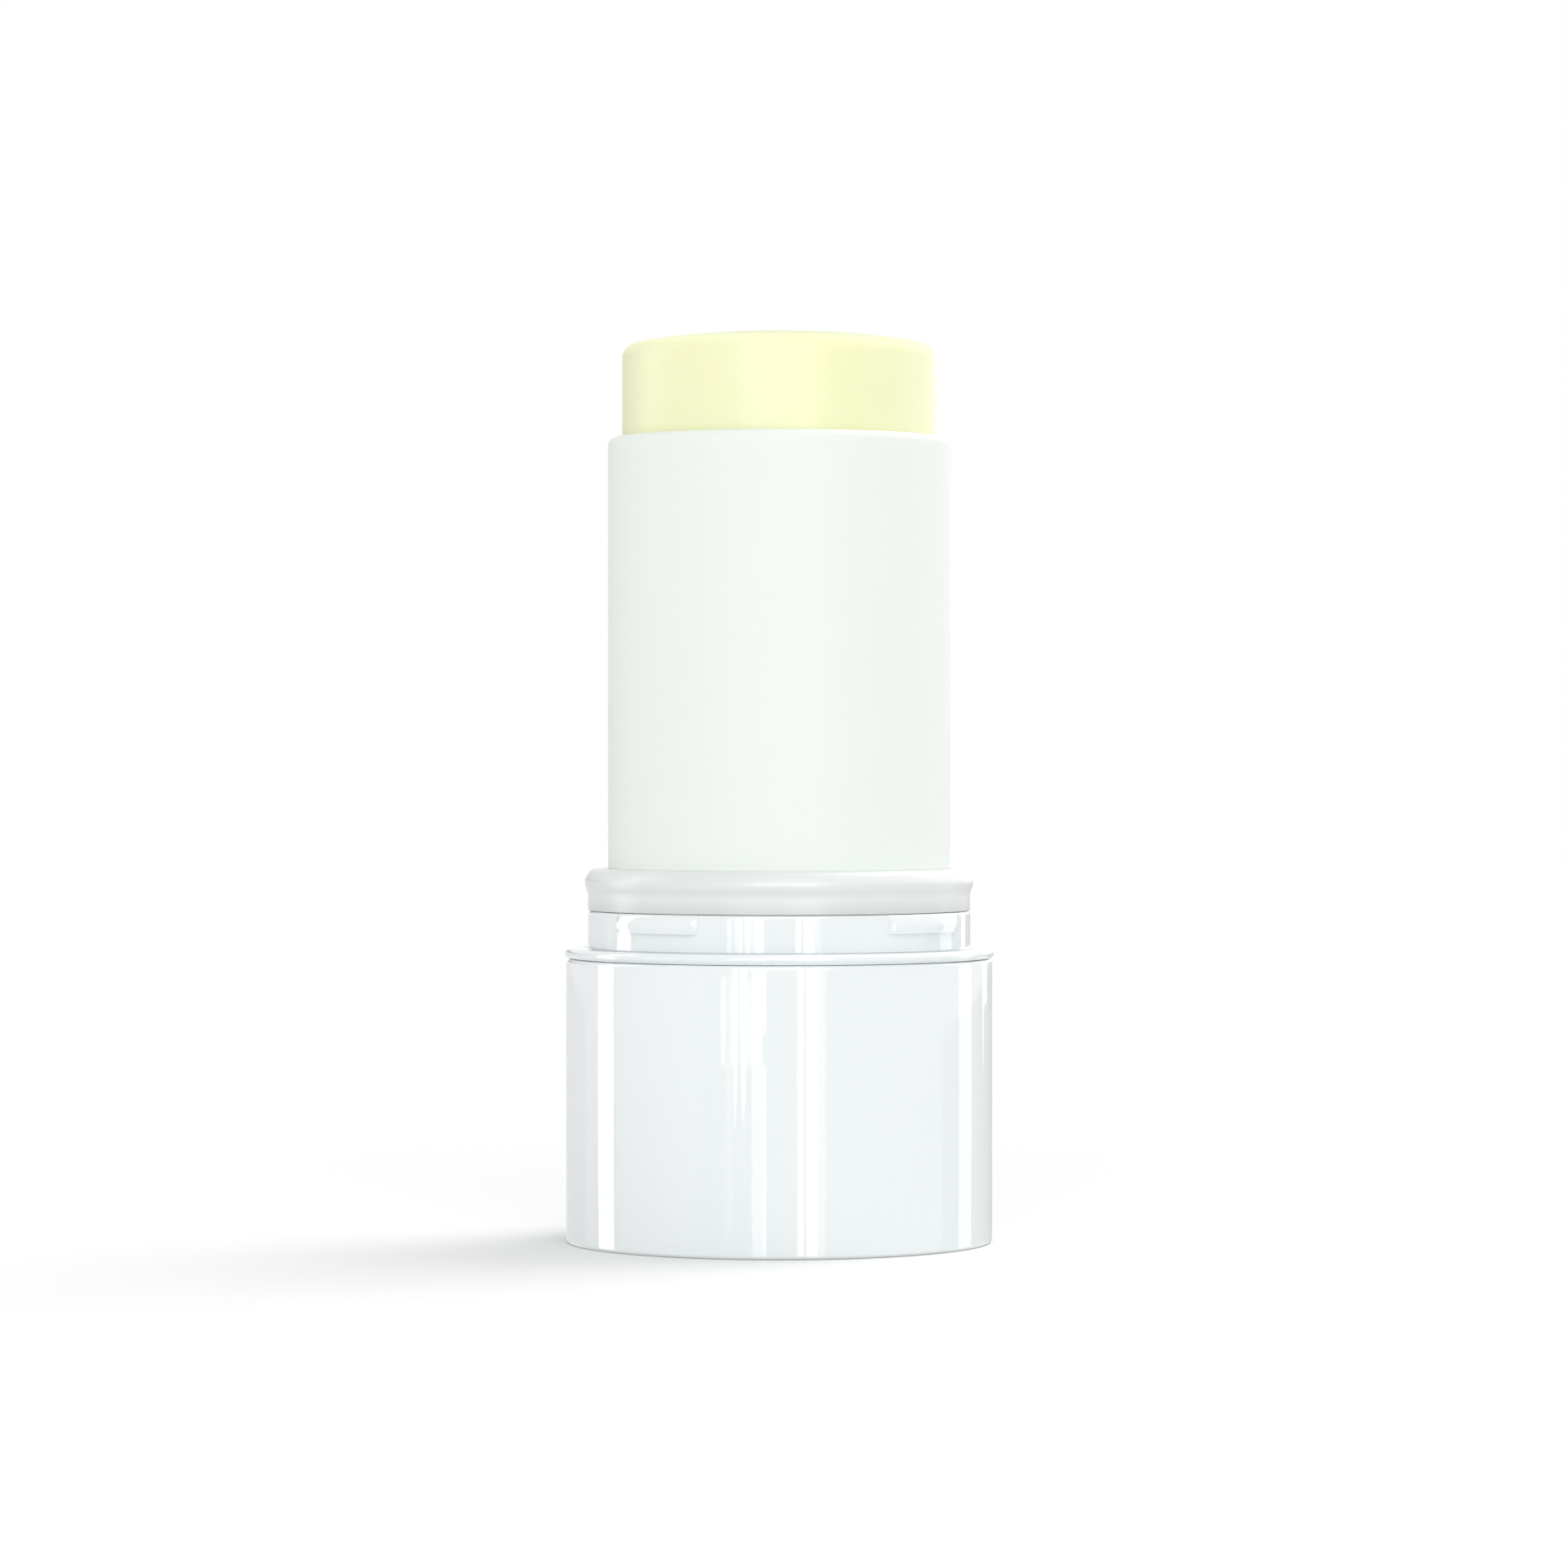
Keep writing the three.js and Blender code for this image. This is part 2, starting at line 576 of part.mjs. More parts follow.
// Assembly: the base stands still, the barrel turns on it and the elevator rises inside the barrel
function piece(name, geometry, material) {
  const mesh = new THREE.Mesh(geometry, material);
  mesh.name = name;
  return mesh;
}

const base = new THREE.Group();
base.add(
  piece("base_shell", baseShell(), GLOSS_WHITE),
  piece("shoulder_ring", shoulderRing(), GLOSS_WHITE),
  piece("neck_sleeve", neckSleeve(), GLOSS_WHITE),
  piece("drag_ring", dragRing(), SILICONE),
  piece("spindle", spindle(), NATURAL_ACETAL),
  piece("spindle_seal", spindleSeal(), SILICONE),
  piece("spindle_clip", spindleClip(), SPRING_STEEL),
  piece("thrust_washer", thrustWasher(), NATURAL_ACETAL),
);

const lifting = new THREE.Group();
lifting.add(
  piece("elevator", elevator(plateTopDown + LIFT_AT_REST), FROST_WHITE),
  piece("sunscreen_stick", sunscreenStick(stickBottomDown + LIFT_AT_REST), SUNSCREEN),
);

const turning = new THREE.Group();
turning.add(
  piece("barrel", barrel(), FROST_WHITE),
  piece("seal_collar", sealCollar(), SATIN_WHITE),
  lifting,
);

const stickContainer = new THREE.Group();
stickContainer.add(base, turning);

export default stickContainer;
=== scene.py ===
"""Looks of a twist-up sunscreen stick that stands open on its base, on a white studio floor.

The file is laid out as a Blender add-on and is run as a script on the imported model.
Lengths are in metres, +Z is up, and the front faces -Y.
"""
from collections import namedtuple
from math import acos, atan2, cos, hypot, pi, radians, remainder, sin, sqrt, tau

import bmesh
import bpy
from bpy.props import FloatProperty, FloatVectorProperty, IntProperty, PointerProperty
from mathutils import Matrix, Vector
from mathutils.geometry import interpolate_bezier


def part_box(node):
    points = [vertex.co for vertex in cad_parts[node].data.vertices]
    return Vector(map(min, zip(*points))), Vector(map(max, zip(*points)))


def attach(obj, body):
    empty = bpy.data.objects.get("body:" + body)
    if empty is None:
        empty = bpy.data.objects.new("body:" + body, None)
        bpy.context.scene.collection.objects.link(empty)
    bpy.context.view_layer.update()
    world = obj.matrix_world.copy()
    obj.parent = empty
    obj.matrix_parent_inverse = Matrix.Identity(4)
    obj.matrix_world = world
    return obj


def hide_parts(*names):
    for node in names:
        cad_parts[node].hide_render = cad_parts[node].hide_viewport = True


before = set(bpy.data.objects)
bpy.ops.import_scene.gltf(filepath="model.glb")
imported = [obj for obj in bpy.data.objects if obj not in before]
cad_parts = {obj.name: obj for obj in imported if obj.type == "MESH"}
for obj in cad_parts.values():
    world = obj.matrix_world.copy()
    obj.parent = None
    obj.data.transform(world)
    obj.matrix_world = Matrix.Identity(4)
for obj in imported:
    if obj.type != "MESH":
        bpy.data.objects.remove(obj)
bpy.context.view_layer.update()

bl_info = {
    "name": "Twist-up Sunscreen Stick",
    "version": (1, 0, 0),
    "blender": (4, 5, 0),
    "location": "View3D > Sidebar > Sunscreen Stick",
    "description": "Models the visible pieces of a twist-up sunscreen stick, and a studio",
    "category": "Add Mesh",
}

MM = 0.001
MERGE_DISTANCE = 0.0001 * MM
SHARP_ANGLE = radians(32)
ORIGIN = (0.0, 0.0, 0.0)
UP = (0.0, 0.0, 1.0)

# Facets: a column is one step round the axis
COLUMNS = 240
COLUMN_ANGLE = tau / COLUMNS
RUBBER_COLUMNS = 96
RUBBER_SIDES = 20
ARC_STEPS = 8
BEND_STEPS = 12
LUG_ROWS = 12
LUG_ROUND_STEPS = 4

# Gaps round a pressed piece and under a seated one, as in the CAD
PRESS_GAP = 0.1 * MM
SEAT_GAP = 0.06 * MM
# How far the shell's rim and the neck's top stand above the CAD's, for finer seams
SHELL_LIFT = 0.04 * MM
NECK_LIFT = 0.17 * MM
# How far past the rounding of the neck's edge a lug's patch of wall is looked for
PATCH_MARGIN = 0.03 * MM
# Tip of the moulding gate's mark, as a share of its radius
GATE_TIP = 0.8

# Heights at rest where a finish changes: the stick's sheen sets in, the collar's colour darkens
# towards its lower edge as painted shade, the barrel's colour pales at its foot as painted light
# against the shade by the collar, and the stick's domed top takes a darker colour as painted shade
SHEEN_START = 69.4 * MM
SHEEN_FULL = 68.4 * MM
# Painted shade: the collar's colour darkens between these two heights
SEAM_SHADE_START = 26.9 * MM
SEAM_SHADE_FULL = 25.6 * MM
# Painted light: the barrel's colour pales below these two heights
FOOT_LIGHT_START = 29.3 * MM
FOOT_LIGHT_FULL = 28.9 * MM
# Painted shade: the stick's colour darkens to its top colour between these two heights
DOME_SHADE_START = 69.1 * MM
DOME_SHADE_FULL = 69.7 * MM


def radius_of(node):
    """How far a CAD node reaches from the axis."""
    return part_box(node)[1].x


def bottom_of(node):
    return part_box(node)[0].z


def top_of(node):
    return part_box(node)[1].z


def length(name, description, default):
    return FloatProperty(
        name=name, description=description, default=default, min=0.0, precision=5,
        subtype="DISTANCE", unit="LENGTH",
    )


def count(name, description, default, least):
    return IntProperty(name=name, description=description, default=default, min=least)


def angle(name, description, default):
    return FloatProperty(
        name=name, description=description, default=radians(default), subtype="ANGLE",
        unit="ROTATION",
    )


def colour(name, description, default):
    return FloatVectorProperty(
        name=name, description=description, default=default, min=0.0, max=1.0, size=3,
        subtype="COLOR",
    )


def share(name, description, default):
    return FloatProperty(
        name=name, description=description, default=default, min=0.0, subtype="FACTOR",
    )


class BaseSizes(bpy.types.PropertyGroup):
    """Sizes of the base: shell, shoulder ring and neck."""

    shell_radius: length("Shell radius", "Outside of the shell", radius_of("base_shell"))
    shell_height: length(
        "Shell height", "From the floor to the shell's rim", top_of("base_shell") + SHELL_LIFT,
    )
    shell_wall: length("Shell wall", "Thickness of the shell's wall", 1.3 * MM)
    shell_floor: length("Shell floor", "Thickness of the shell's floor", 1.4 * MM)
    shell_edge: length("Shell edge", "Rounding of the shell's two outer edges", 0.3 * MM)
    foot_recess: length("Foot recess", "Height of the hollow under the foot", 0.6 * MM)
    gate_radius: length("Gate dimple", "Radius of the dimple round the gate's mark", 2.2 * MM)
    gate_depth: length("Gate depth", "Depth of that dimple", 0.35 * MM)
    gate_mark: length("Gate mark", "Radius of the mark that the moulding gate leaves", 0.6 * MM)
    foot_width: length("Foot width", "Width of the ring that the shell stands on", 3.5 * MM)
    ring_radius: length("Ring radius", "Outside of the shoulder ring", radius_of("shoulder_ring"))
    ring_top: length("Ring top", "Height of the cap's seat", top_of("shoulder_ring"))
    ring_height: length("Ring height", "Height of the ring's round edge", 0.8 * MM)
    ring_bottom: length("Ring bottom", "Lower end of the ring's skirt", bottom_of("shoulder_ring"))
    ring_skirt: length("Ring skirt", "Thickness of the ring's skirt", 0.55 * MM)
    ring_bevel: length("Ring bevel", "Bevel between the ring and the neck", 0.2 * MM)
    cap_seat: length("Cap seat", "Inner radius of the flat ring that a cap stands on", 15.3 * MM)
    neck_radius: length("Neck radius", "Outside of the neck", 14.8 * MM)
    neck_top: length("Neck top", "Height of the neck", top_of("neck_sleeve") + NECK_LIFT)
    neck_bore: length("Neck bore", "Inside of the sleeve, round the barrel", 13.75 * MM)
    neck_edge: length("Neck edge", "Rounding of the neck's top edge", 0.2 * MM)
    neck_relief: length("Neck relief", "Depth of the groove at the foot of the neck", 0.12 * MM)
    relief_height: length("Relief height", "How far that groove shows above the ring", 0.05 * MM)
    sleeve_radius: length("Sleeve radius", "Hidden outside of the sleeve", 15.1 * MM)
    sleeve_bottom: length("Sleeve bottom", "Lower end of the sleeve", bottom_of("neck_sleeve"))
    sleeve_floor: length("Sleeve floor", "Height of the floor's underside", 3.46 * MM)
    floor_thickness: length("Sleeve floor thickness", "Thickness of the sleeve's floor", 1.4 * MM)
    socket_radius: length("Socket radius", "Hole for the spindle's foot", 4.1 * MM)
    groove_radius: length("Groove radius", "Bottom of the drag ring's groove", 14.56 * MM)
    snap_depth: length("Snap groove depth", "Depth of the groove round the snap bead", 0.3 * MM)
    snap_width: length("Snap groove width", "Height of that groove", 1.4 * MM)
    lug_out: length("Lug depth", "How far a lug stands out from the neck", 0.35 * MM)
    lug_height: length("Lug height", "From a lug's lower edge to the neck's top", 1.46 * MM)
    lug_crest: length("Lug crest", "Height on a lug where it stands out most", 0.6 * MM)
    lug_lean: length("Lug lean", "How far a lug's top leans in from its crest", 0.24 * MM)
    lug_tuck: length("Lug tuck", "How far a lug's foot is tucked in under its crest", 0.06 * MM)
    lug_end: share("Lug end", "Share of the lug's depth that is left at its sloping ends", 0.3)
    lug_round: length("Lug rounding", "Rounding of a lug's edges", 0.12 * MM)
    lug_columns: count("Lug columns", "Width of a lug, in columns of the wall", 21, 3)
    lug_count: count("Lugs", "Number of lugs round the neck", 4, 1)
    lug_turn: angle("Lug turn", "Angle of the first lug's middle from +X", 49.8)


class BarrelSizes(bpy.types.PropertyGroup):
    """Sizes of the barrel and its collar."""

    radius: length("Barrel radius", "Outside of the tube that shows", 13.25 * MM)
    wall: length("Barrel wall", "Thickness of the tube", 1.0 * MM)
    top: length("Barrel top", "Height of the rim", top_of("barrel"))
    rim: length("Rim rounding", "Rounding of the rim's outer edge", 0.6 * MM)
    lip: length("Lip rounding", "Rounding of the rim's inner edge", 0.2 * MM)
    step: length("Step", "How much wider the hidden lower tube is", 0.25 * MM)
    step_height: length("Step height", "Height of the step under the collar", 25.6 * MM)
    bottom: length("Barrel bottom", "Underside of the barrel's floor", 8.14 * MM)
    floor: length("Barrel floor", "Thickness of the barrel's floor", 1.2 * MM)
    hub_bottom: length("Hub bottom", "Lower end of the hub", bottom_of("barrel"))
    hub_radius: length("Hub radius", "Outside of the hub", 5.5 * MM)
    hub_bore: length("Hub bore", "Hole round the spindle", 3.6 * MM)
    snap_out: length("Snap", "How far the snap bead stands out", 0.3 * MM)
    snap_width: length("Snap width", "From the snap bead's lower end to its upper end", 0.9 * MM)
    snap_height: length("Snap height", "Height of the snap bead's middle", 9.74 * MM)
    keyway_depth: length("Keyway depth", "Depth of the two keyways", 0.45 * MM)
    keyway_bottom: length("Keyway bottom", "Lower end of the keyways", 9.64 * MM)
    keyway_top: length("Keyway top", "Upper end of the keyways", 57.34 * MM)
    keyway_columns: count("Keyway columns", "Width of a keyway, in columns of the wall", 10, 2)
    collar_bottom: length("Collar bottom", "Lower edge of the collar", bottom_of("seal_collar"))
    collar_top: length("Collar top", "Flat top of the collar", top_of("seal_collar"))
    collar_rise: length("Collar rise", "How far the collar's top rises to the tube", 0.08 * MM)
    collar_radius: length("Collar radius", "Outside of the collar's straight part", 14.8 * MM)
    collar_edge: length("Collar edge", "Rounding of the collar's lower edge", 0.08 * MM)
    collar_skirt: length("Collar skirt", "Height of the straight part", 1.07 * MM)
    collar_crown: length("Collar crown", "Height of the rounding on the bead", 0.89 * MM)
    collar_gap: length("Collar gap", "Between the collar and the tube", 0.06 * MM)
    bead_radius: length("Bead radius", "Outside of the collar's bead", radius_of("seal_collar"))
    bead_round: length("Bead rounding", "Width of the rounding on the bead", 0.58 * MM)


class SunscreenSizes(bpy.types.PropertyGroup):
    """Sizes of the stick of sunscreen."""

    radius: length("Stick radius", "Outside of the stick", radius_of("sunscreen_stick"))
    top: length("Stick top", "Height of the dome's middle", top_of("sunscreen_stick"))
    bottom: length("Stick bottom", "Lower end of the stick", bottom_of("sunscreen_stick"))
    dome: length("Dome radius", "Radius of the domed top", 72.0 * MM)
    edge: length("Edge rounding", "Rounding between the dome and the side", 1.1 * MM)
    bore: length("Bore", "Hole that clears the spindle", 3.45 * MM)
    bore_cover: length("Bore cover", "Sunscreen above the bore", 3.91 * MM)
    post_bore: length("Post bore", "Hole round the elevator's post", 4.55 * MM)
    post_height: length("Post height", "Depth of the hole round the post", 3.1 * MM)
    foot: length("Foot radius", "Part of the stick inside the elevator's rim", 11.15 * MM)
    foot_height: length("Foot height", "Height of that part", 1.3 * MM)


class FinishColours(bpy.types.PropertyGroup):
    """Colours of the finishes, in linear values."""

    gloss_white: colour("Gloss white", "Base and ring", (0.864, 0.904, 0.911))
    # Painted shade: a slightly darker copy of the gloss white for the neck, which sits in shade
    # between ring and collar
    neck_white: colour("Neck white", "Neck, moulded from a greyer lot", (0.864, 0.901, 0.909))
    satin_white: colour("Satin white", "Collar", (0.79, 0.812, 0.807))
    # Painted shade: the darker grey that the collar's colour fades to near its lower edge
    satin_seam: colour("Satin white, seam", "Lower edge of the collar", (0.66, 0.69, 0.68))
    frost_white: colour("Frost white", "Barrel and elevator", (0.875, 0.919, 0.87))
    sunscreen: colour("Sunscreen", "Stick", (0.925, 0.948, 0.635))
    sunscreen_deep: colour("Sunscreen, deep", "Richer streaks in the stick", (0.92, 0.948, 0.58))
    # Painted shade: the darker colour of the stick's domed top
    sunscreen_top: colour("Sunscreen, top", "Domed top of the stick", (0.75, 0.785, 0.53))
    natural_acetal: colour("Natural acetal", "Spindle and washer", (0.81, 0.79, 0.7))
    silicone: colour("Silicone", "Rubber rings", (0.71, 0.71, 0.68))
    spring_steel: colour("Spring steel", "Clip under the sleeve's floor", (0.48, 0.5, 0.52))


class StageSettings(bpy.types.PropertyGroup):
    """Camera, floor and light levels."""

    camera_place: FloatVectorProperty(
        name="Camera", description="Place of the camera", size=3, subtype="TRANSLATION",
        unit="LENGTH", precision=5, default=(0.377 * MM, -427.48 * MM, 37.71 * MM),
    )
    camera_aim: length("Camera aim", "Height on the axis that the camera looks at", 35.41 * MM)
    lens: FloatProperty(
        name="Lens", description="Focal length on a 36 mm sensor", default=126.63, min=1.0,
        unit="CAMERA",
    )
    floor_colour: colour("Floor", "Floor, as it lights what stands on it", (0.8, 0.8, 0.8))
    floor_seen: colour("Floor seen", "Floor, where it is the background", (0.885, 0.885, 0.885))
    sky: share("Sky", "Strength of the even light from all sides", 0.71)


class SunStickSettings(bpy.types.PropertyGroup):
    """All settings of the sunscreen stick."""

    base: PointerProperty(type=BaseSizes, name="Base", description="Its sizes")
    barrel: PointerProperty(type=BarrelSizes, name="Barrel", description="Its sizes and its collar")
    sunscreen: PointerProperty(type=SunscreenSizes, name="Sunscreen", description="Its sizes")
    colours: PointerProperty(type=FinishColours, name="Colours", description="Finishes")
    stage: PointerProperty(type=StageSettings, name="Stage", description="Camera, floor and light")


def spin_round(mesh, columns):
    """Turn all that is drawn once about Z."""
    bmesh.ops.spin(
        mesh, geom=mesh.verts[:] + mesh.edges[:], cent=ORIGIN, axis=UP, angle=tau, steps=columns,
        use_merge=True,
    )


class Outline:
    """The half section of a turned piece: drawn by a pen in the XZ plane, then spun."""

    def __init__(self, radius, height):
        self.mesh = bmesh.new()
        self.pen = self.mesh.verts.new((radius, 0.0, height))
        self.start = self.pen

    def line(self, *points):
        """Draw straight on through (radius, height) points."""
        for radius, height in points:
            drawn = bmesh.ops.extrude_vert_indiv(self.mesh, verts=[self.pen])
            self.pen = drawn["verts"][0]
            self.pen.co = (radius, 0.0, height)
        return self

    def arc(self, radius, height, turn, steps=ARC_STEPS):
        """Swing round the centre at a radius and height, anticlockwise for a positive turn."""
        drawn = bmesh.ops.spin(
            self.mesh, geom=[self.pen], cent=(radius, 0.0, height), axis=(0.0, -1.0, 0.0),
            angle=turn, steps=steps,
        )
        self.pen = next(item for item in drawn["geom_last"] if isinstance(item, bmesh.types.BMVert))
        return self

    def bend(self, first_handle, second_handle, end):
        """Draw a smooth bend to an end point, pulled by two handles."""
        start = (self.pen.co.x, self.pen.co.z)
        knots = (start, first_handle, second_handle, end)
        flat_knots = [Vector((radius, height, 0.0)) for radius, height in knots]
        points = interpolate_bezier(*flat_knots, BEND_STEPS + 1)
        return self.line(*[(point.x, point.y) for point in points[1:]])

    def snap(self, radius, middle, height, out):
        """Draw a snap bead or groove on a wall, upwards for a positive height."""
        half = height / 2
        return self.line(
            (radius, middle - half),
            (radius + out, middle - half / 2),
            (radius + out, middle + half / 2),
            (radius, middle + half),
        )

    def spun(self):
        """Close the outline unless it ends on the axis, and turn it about Z into a closed mesh."""
        if max(self.pen.co.x, self.start.co.x) > MERGE_DISTANCE:
            self.mesh.edges.new((self.pen, self.start))
        spin_round(self.mesh, COLUMNS)
        bmesh.ops.remove_doubles(self.mesh, verts=self.mesh.verts, dist=MERGE_DISTANCE)
        return self.mesh


def wall_patch(mesh, radius, bottom, top, middle, columns, depth):
    """Faces of a wall near a radius, between two heights, some columns round an angle."""
    patch = []
    for face in mesh.faces:
        centre = face.calc_center_median()
        turn = remainder(atan2(centre.y, centre.x) - middle, tau)
        on_wall = abs(hypot(centre.x, centre.y) - radius) < depth
        if on_wall and bottom < centre.z < top and abs(turn) < columns * COLUMN_ANGLE / 2:
            patch.append(face)
    if not patch:
        raise RuntimeError("the wall has no faces at the patch")
    return patch


def raised(mesh, patch, shift):
    """Extrude a patch of wall and move its points away from the axis by shift(place)."""
    edges = {edge for face in patch for edge in face.edges}
    points = {point for face in patch for point in face.verts}
    drawn = bmesh.ops.extrude_face_region(mesh, geom=[*patch, *edges, *points])["geom"]
    for item in drawn:
        if isinstance(item, bmesh.types.BMVert):
            out = Vector((item.co.x, item.co.y, 0.0)).normalized()
            item.co += out * shift(item.co)
    return {item for item in drawn if isinstance(item, bmesh.types.BMFace)}


def finished_piece(name, mesh, node, body, finish_name):
    """Make a bmesh an object with a finish that rides on a body and stands for a CAD node."""
    bmesh.ops.recalc_face_normals(mesh, faces=mesh.faces)
    open_edges = sum(not edge.is_manifold for edge in mesh.edges)
    if open_edges:
        raise RuntimeError(f"{name} has {open_edges} open edges")
    data = bpy.data.meshes.new(name)
    mesh.to_mesh(data)
    mesh.free()
    data.shade_smooth()
    data.set_sharp_from_angle(angle=SHARP_ANGLE)
    data.materials.append(finish(finish_name))
    piece = bpy.data.objects.new(name, data)
    bpy.context.scene.collection.objects.link(piece)
    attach(piece, body)
    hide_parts(node)


class Signal:
    """A shader socket that takes part in Python arithmetic: each operation adds a Math node."""

    def __init__(self, nodes, socket):
        self.nodes = nodes
        self.socket = socket

    def math(self, operation, other):
        return self.nodes.add("ShaderNodeMath", {"operation": operation}, {0: self, 1: other})

    def __add__(self, other):
        return self.math("ADD", other)

    def __mul__(self, other):
        return self.math("MULTIPLY", other)

    __radd__ = __add__
    __rmul__ = __mul__

    def or_more(self, other):
        return self.math("MAXIMUM", other)


class Nodes:
    """A node tree under construction."""

    def __init__(self, tree):
        self.tree = tree
        self.tree.nodes.clear()

    def add(self, kind, settings=None, sockets=None, output=0):
        """Add a node of a kind: its settings first, then the values or links of its sockets."""
        node = self.tree.nodes.new(kind)
        for setting, value in (settings or {}).items():
            if setting == "stops":
                self.set_stops(node.color_ramp, value)
            else:
                setattr(node, setting, value)
        for name, value in (sockets or {}).items():
            if isinstance(value, Signal):
                self.tree.links.new(value.socket, node.inputs[name])
            else:
                node.inputs[name].default_value = value
        return Signal(self, node.outputs[output]) if node.outputs else node

    def set_stops(self, ramp, stops):
        """Give a ramp its two (position, brightness) stops."""
        for index, (position, brightness) in enumerate(stops):
            ramp.elements[index].position = position
            ramp.elements[index].color = (brightness, brightness, brightness, 1.0)

    def place(self, stretch=(1.0, 1.0, 1.0)):
        """Object coordinates, stretched along the axes."""
        spot = self.add("ShaderNodeTexCoord", output="Object")
        return self.add("ShaderNodeMapping", sockets={"Vector": spot, "Scale": stretch})

    def height(self):
        """Height at rest, from the object coordinates."""
        return self.add("ShaderNodeSeparateXYZ", sockets={"Vector": self.place()}, output="Z")

    def noise(self, per_metre, detail=2.0, roughness=0.5, stretch=(1.0, 1.0, 1.0)):
        """Soft noise with a number of blotches per metre."""
        sockets = {
            "Vector": self.place(stretch), "Scale": per_metre,
            "Detail": detail, "Roughness": roughness,
        }
        return self.add("ShaderNodeTexNoise", sockets=sockets)

    def ramp(self, value, *stops):
        return self.add("ShaderNodeValToRGB", {"stops": stops}, {"Fac": value})

    def between(self, value, low, high):
        """From zero at one value to one at another, softly."""
        sockets = {"Value": value, "From Min": low, "From Max": high}
        return self.add("ShaderNodeMapRange", {"interpolation_type": "SMOOTHSTEP"}, sockets)

    def mixed(self, factor, first, second):
        """One colour faded into another. Sockets of this node share names, so they go by number."""
        ends = [end if isinstance(end, Signal) else (*end, 1.0) for end in (first, second)]
        sockets = {0: factor, 6: ends[0], 7: ends[1]}
        return self.add("ShaderNodeMix", {"data_type": "RGBA"}, sockets, output=2)

    def mottled(self, pattern, shade, darkest, lightest):
        """A colour that a pattern varies between two tints of it."""
        return self.mixed(pattern, tinted(shade, darkest), tinted(shade, lightest))

    def bump(self, height, depth, normal=None):
        """A bump of a depth in metres, laid over another where one is given."""
        sockets = {"Height": height, "Distance": depth, "Strength": 1.0}
        if normal is not None:
            sockets["Normal"] = normal
        return self.add("ShaderNodeBump", sockets=sockets)


def tinted(shade, factor):
    """A colour made lighter or darker by a factor, kept below white."""
    return tuple(min(part * factor, 1.0) for part in shade)


class MaterialNodes(Nodes):
    """The node tree of a new material."""

    def __init__(self, name):
        self.material = bpy.data.materials.new(name)
        self.material.use_nodes = True
        super().__init__(self.material.node_tree)

    def ended(self, shader):
        """The material, with a shader as its surface."""
        self.add("ShaderNodeOutputMaterial", sockets={"Surface": shader})
        return self.material

    def surfaced(self, **sockets):
        """The material with a Principled shader, its socket names written with underscores."""
        named = {name.replace("_", " "): value for name, value in sockets.items()}
        return self.ended(self.add("ShaderNodeBsdfPrincipled", sockets=named))


def gloss_white(name, shade):
    """High-gloss moulded plastic: faint flow marks, a trace of orange peel and a breath of haze."""
    nodes = MaterialNodes(name)
    flow = nodes.noise(45.0, 2.0, stretch=(1.0, 1.0, 0.35))
    peel = nodes.noise(330.0, 1.0)
    haze = nodes.noise(900.0, 4.0, 0.6)
    return nodes.surfaced(
        Base_Color=nodes.mottled(flow, shade, 0.985, 1.015),
        Roughness=0.03 + 0.035 * haze,
        Normal=nodes.bump(peel, 0.006 * MM),
        Coat_Weight=0.6, Coat_Roughness=0.02,
    )


def satin_white(name, shade, seam_shade):
    """Satin soft plastic with a fine even texture from the mould, its colour darkened towards its
    lower edge as painted shade.
    """
    nodes = MaterialNodes(name)
    flow = nodes.noise(60.0, 2.0, stretch=(1.0, 1.0, 0.4))
    grain = nodes.noise(9000.0, 2.0)
    # Painted shade: the colour darkens towards the collar's lower edge
    seam_shade_mask = nodes.between(nodes.height(), SEAM_SHADE_START, SEAM_SHADE_FULL)
    clean = nodes.mottled(flow, shade, 0.98, 1.02)
    return nodes.surfaced(
        Base_Color=nodes.mixed(seam_shade_mask, clean, seam_shade),
        Roughness=0.25 + 0.1 * grain,
        Normal=nodes.bump(grain, 0.0025 * MM),
    )


def frost_white(name, shade):
    """Frosted plastic: a fine grain, faint draw lines, a little light let through, and a foot
    painted paler as painted light against the shade by the collar.
    """
    nodes = MaterialNodes(name)
    cloud = nodes.noise(70.0, 3.0, stretch=(1.0, 1.0, 0.3))
    grain = nodes.noise(7000.0, 3.0, 0.6)
    draw_lines = nodes.noise(2500.0, 1.0, stretch=(1.0, 1.0, 0.02))
    # Painted light: a paler colour at the barrel's foot stands in for light where the collar shades
    # it
    foot_light_mask = nodes.between(nodes.height(), FOOT_LIGHT_START, FOOT_LIGHT_FULL)
    clouded = nodes.mottled(cloud, shade, 0.985, 1.015)
    return nodes.surfaced(
        Base_Color=nodes.mixed(foot_light_mask, clouded, tinted(shade, 1.08)),
        Roughness=0.5 + 0.14 * grain, Specular_IOR_Level=0.28,
        Normal=nodes.bump(draw_lines, 0.001 * MM, nodes.bump(grain, 0.004 * MM)),
        Subsurface_Weight=0.15, Subsurface_Radius=(1.0, 1.0, 1.0), Subsurface_Scale=0.8 * MM,
    )


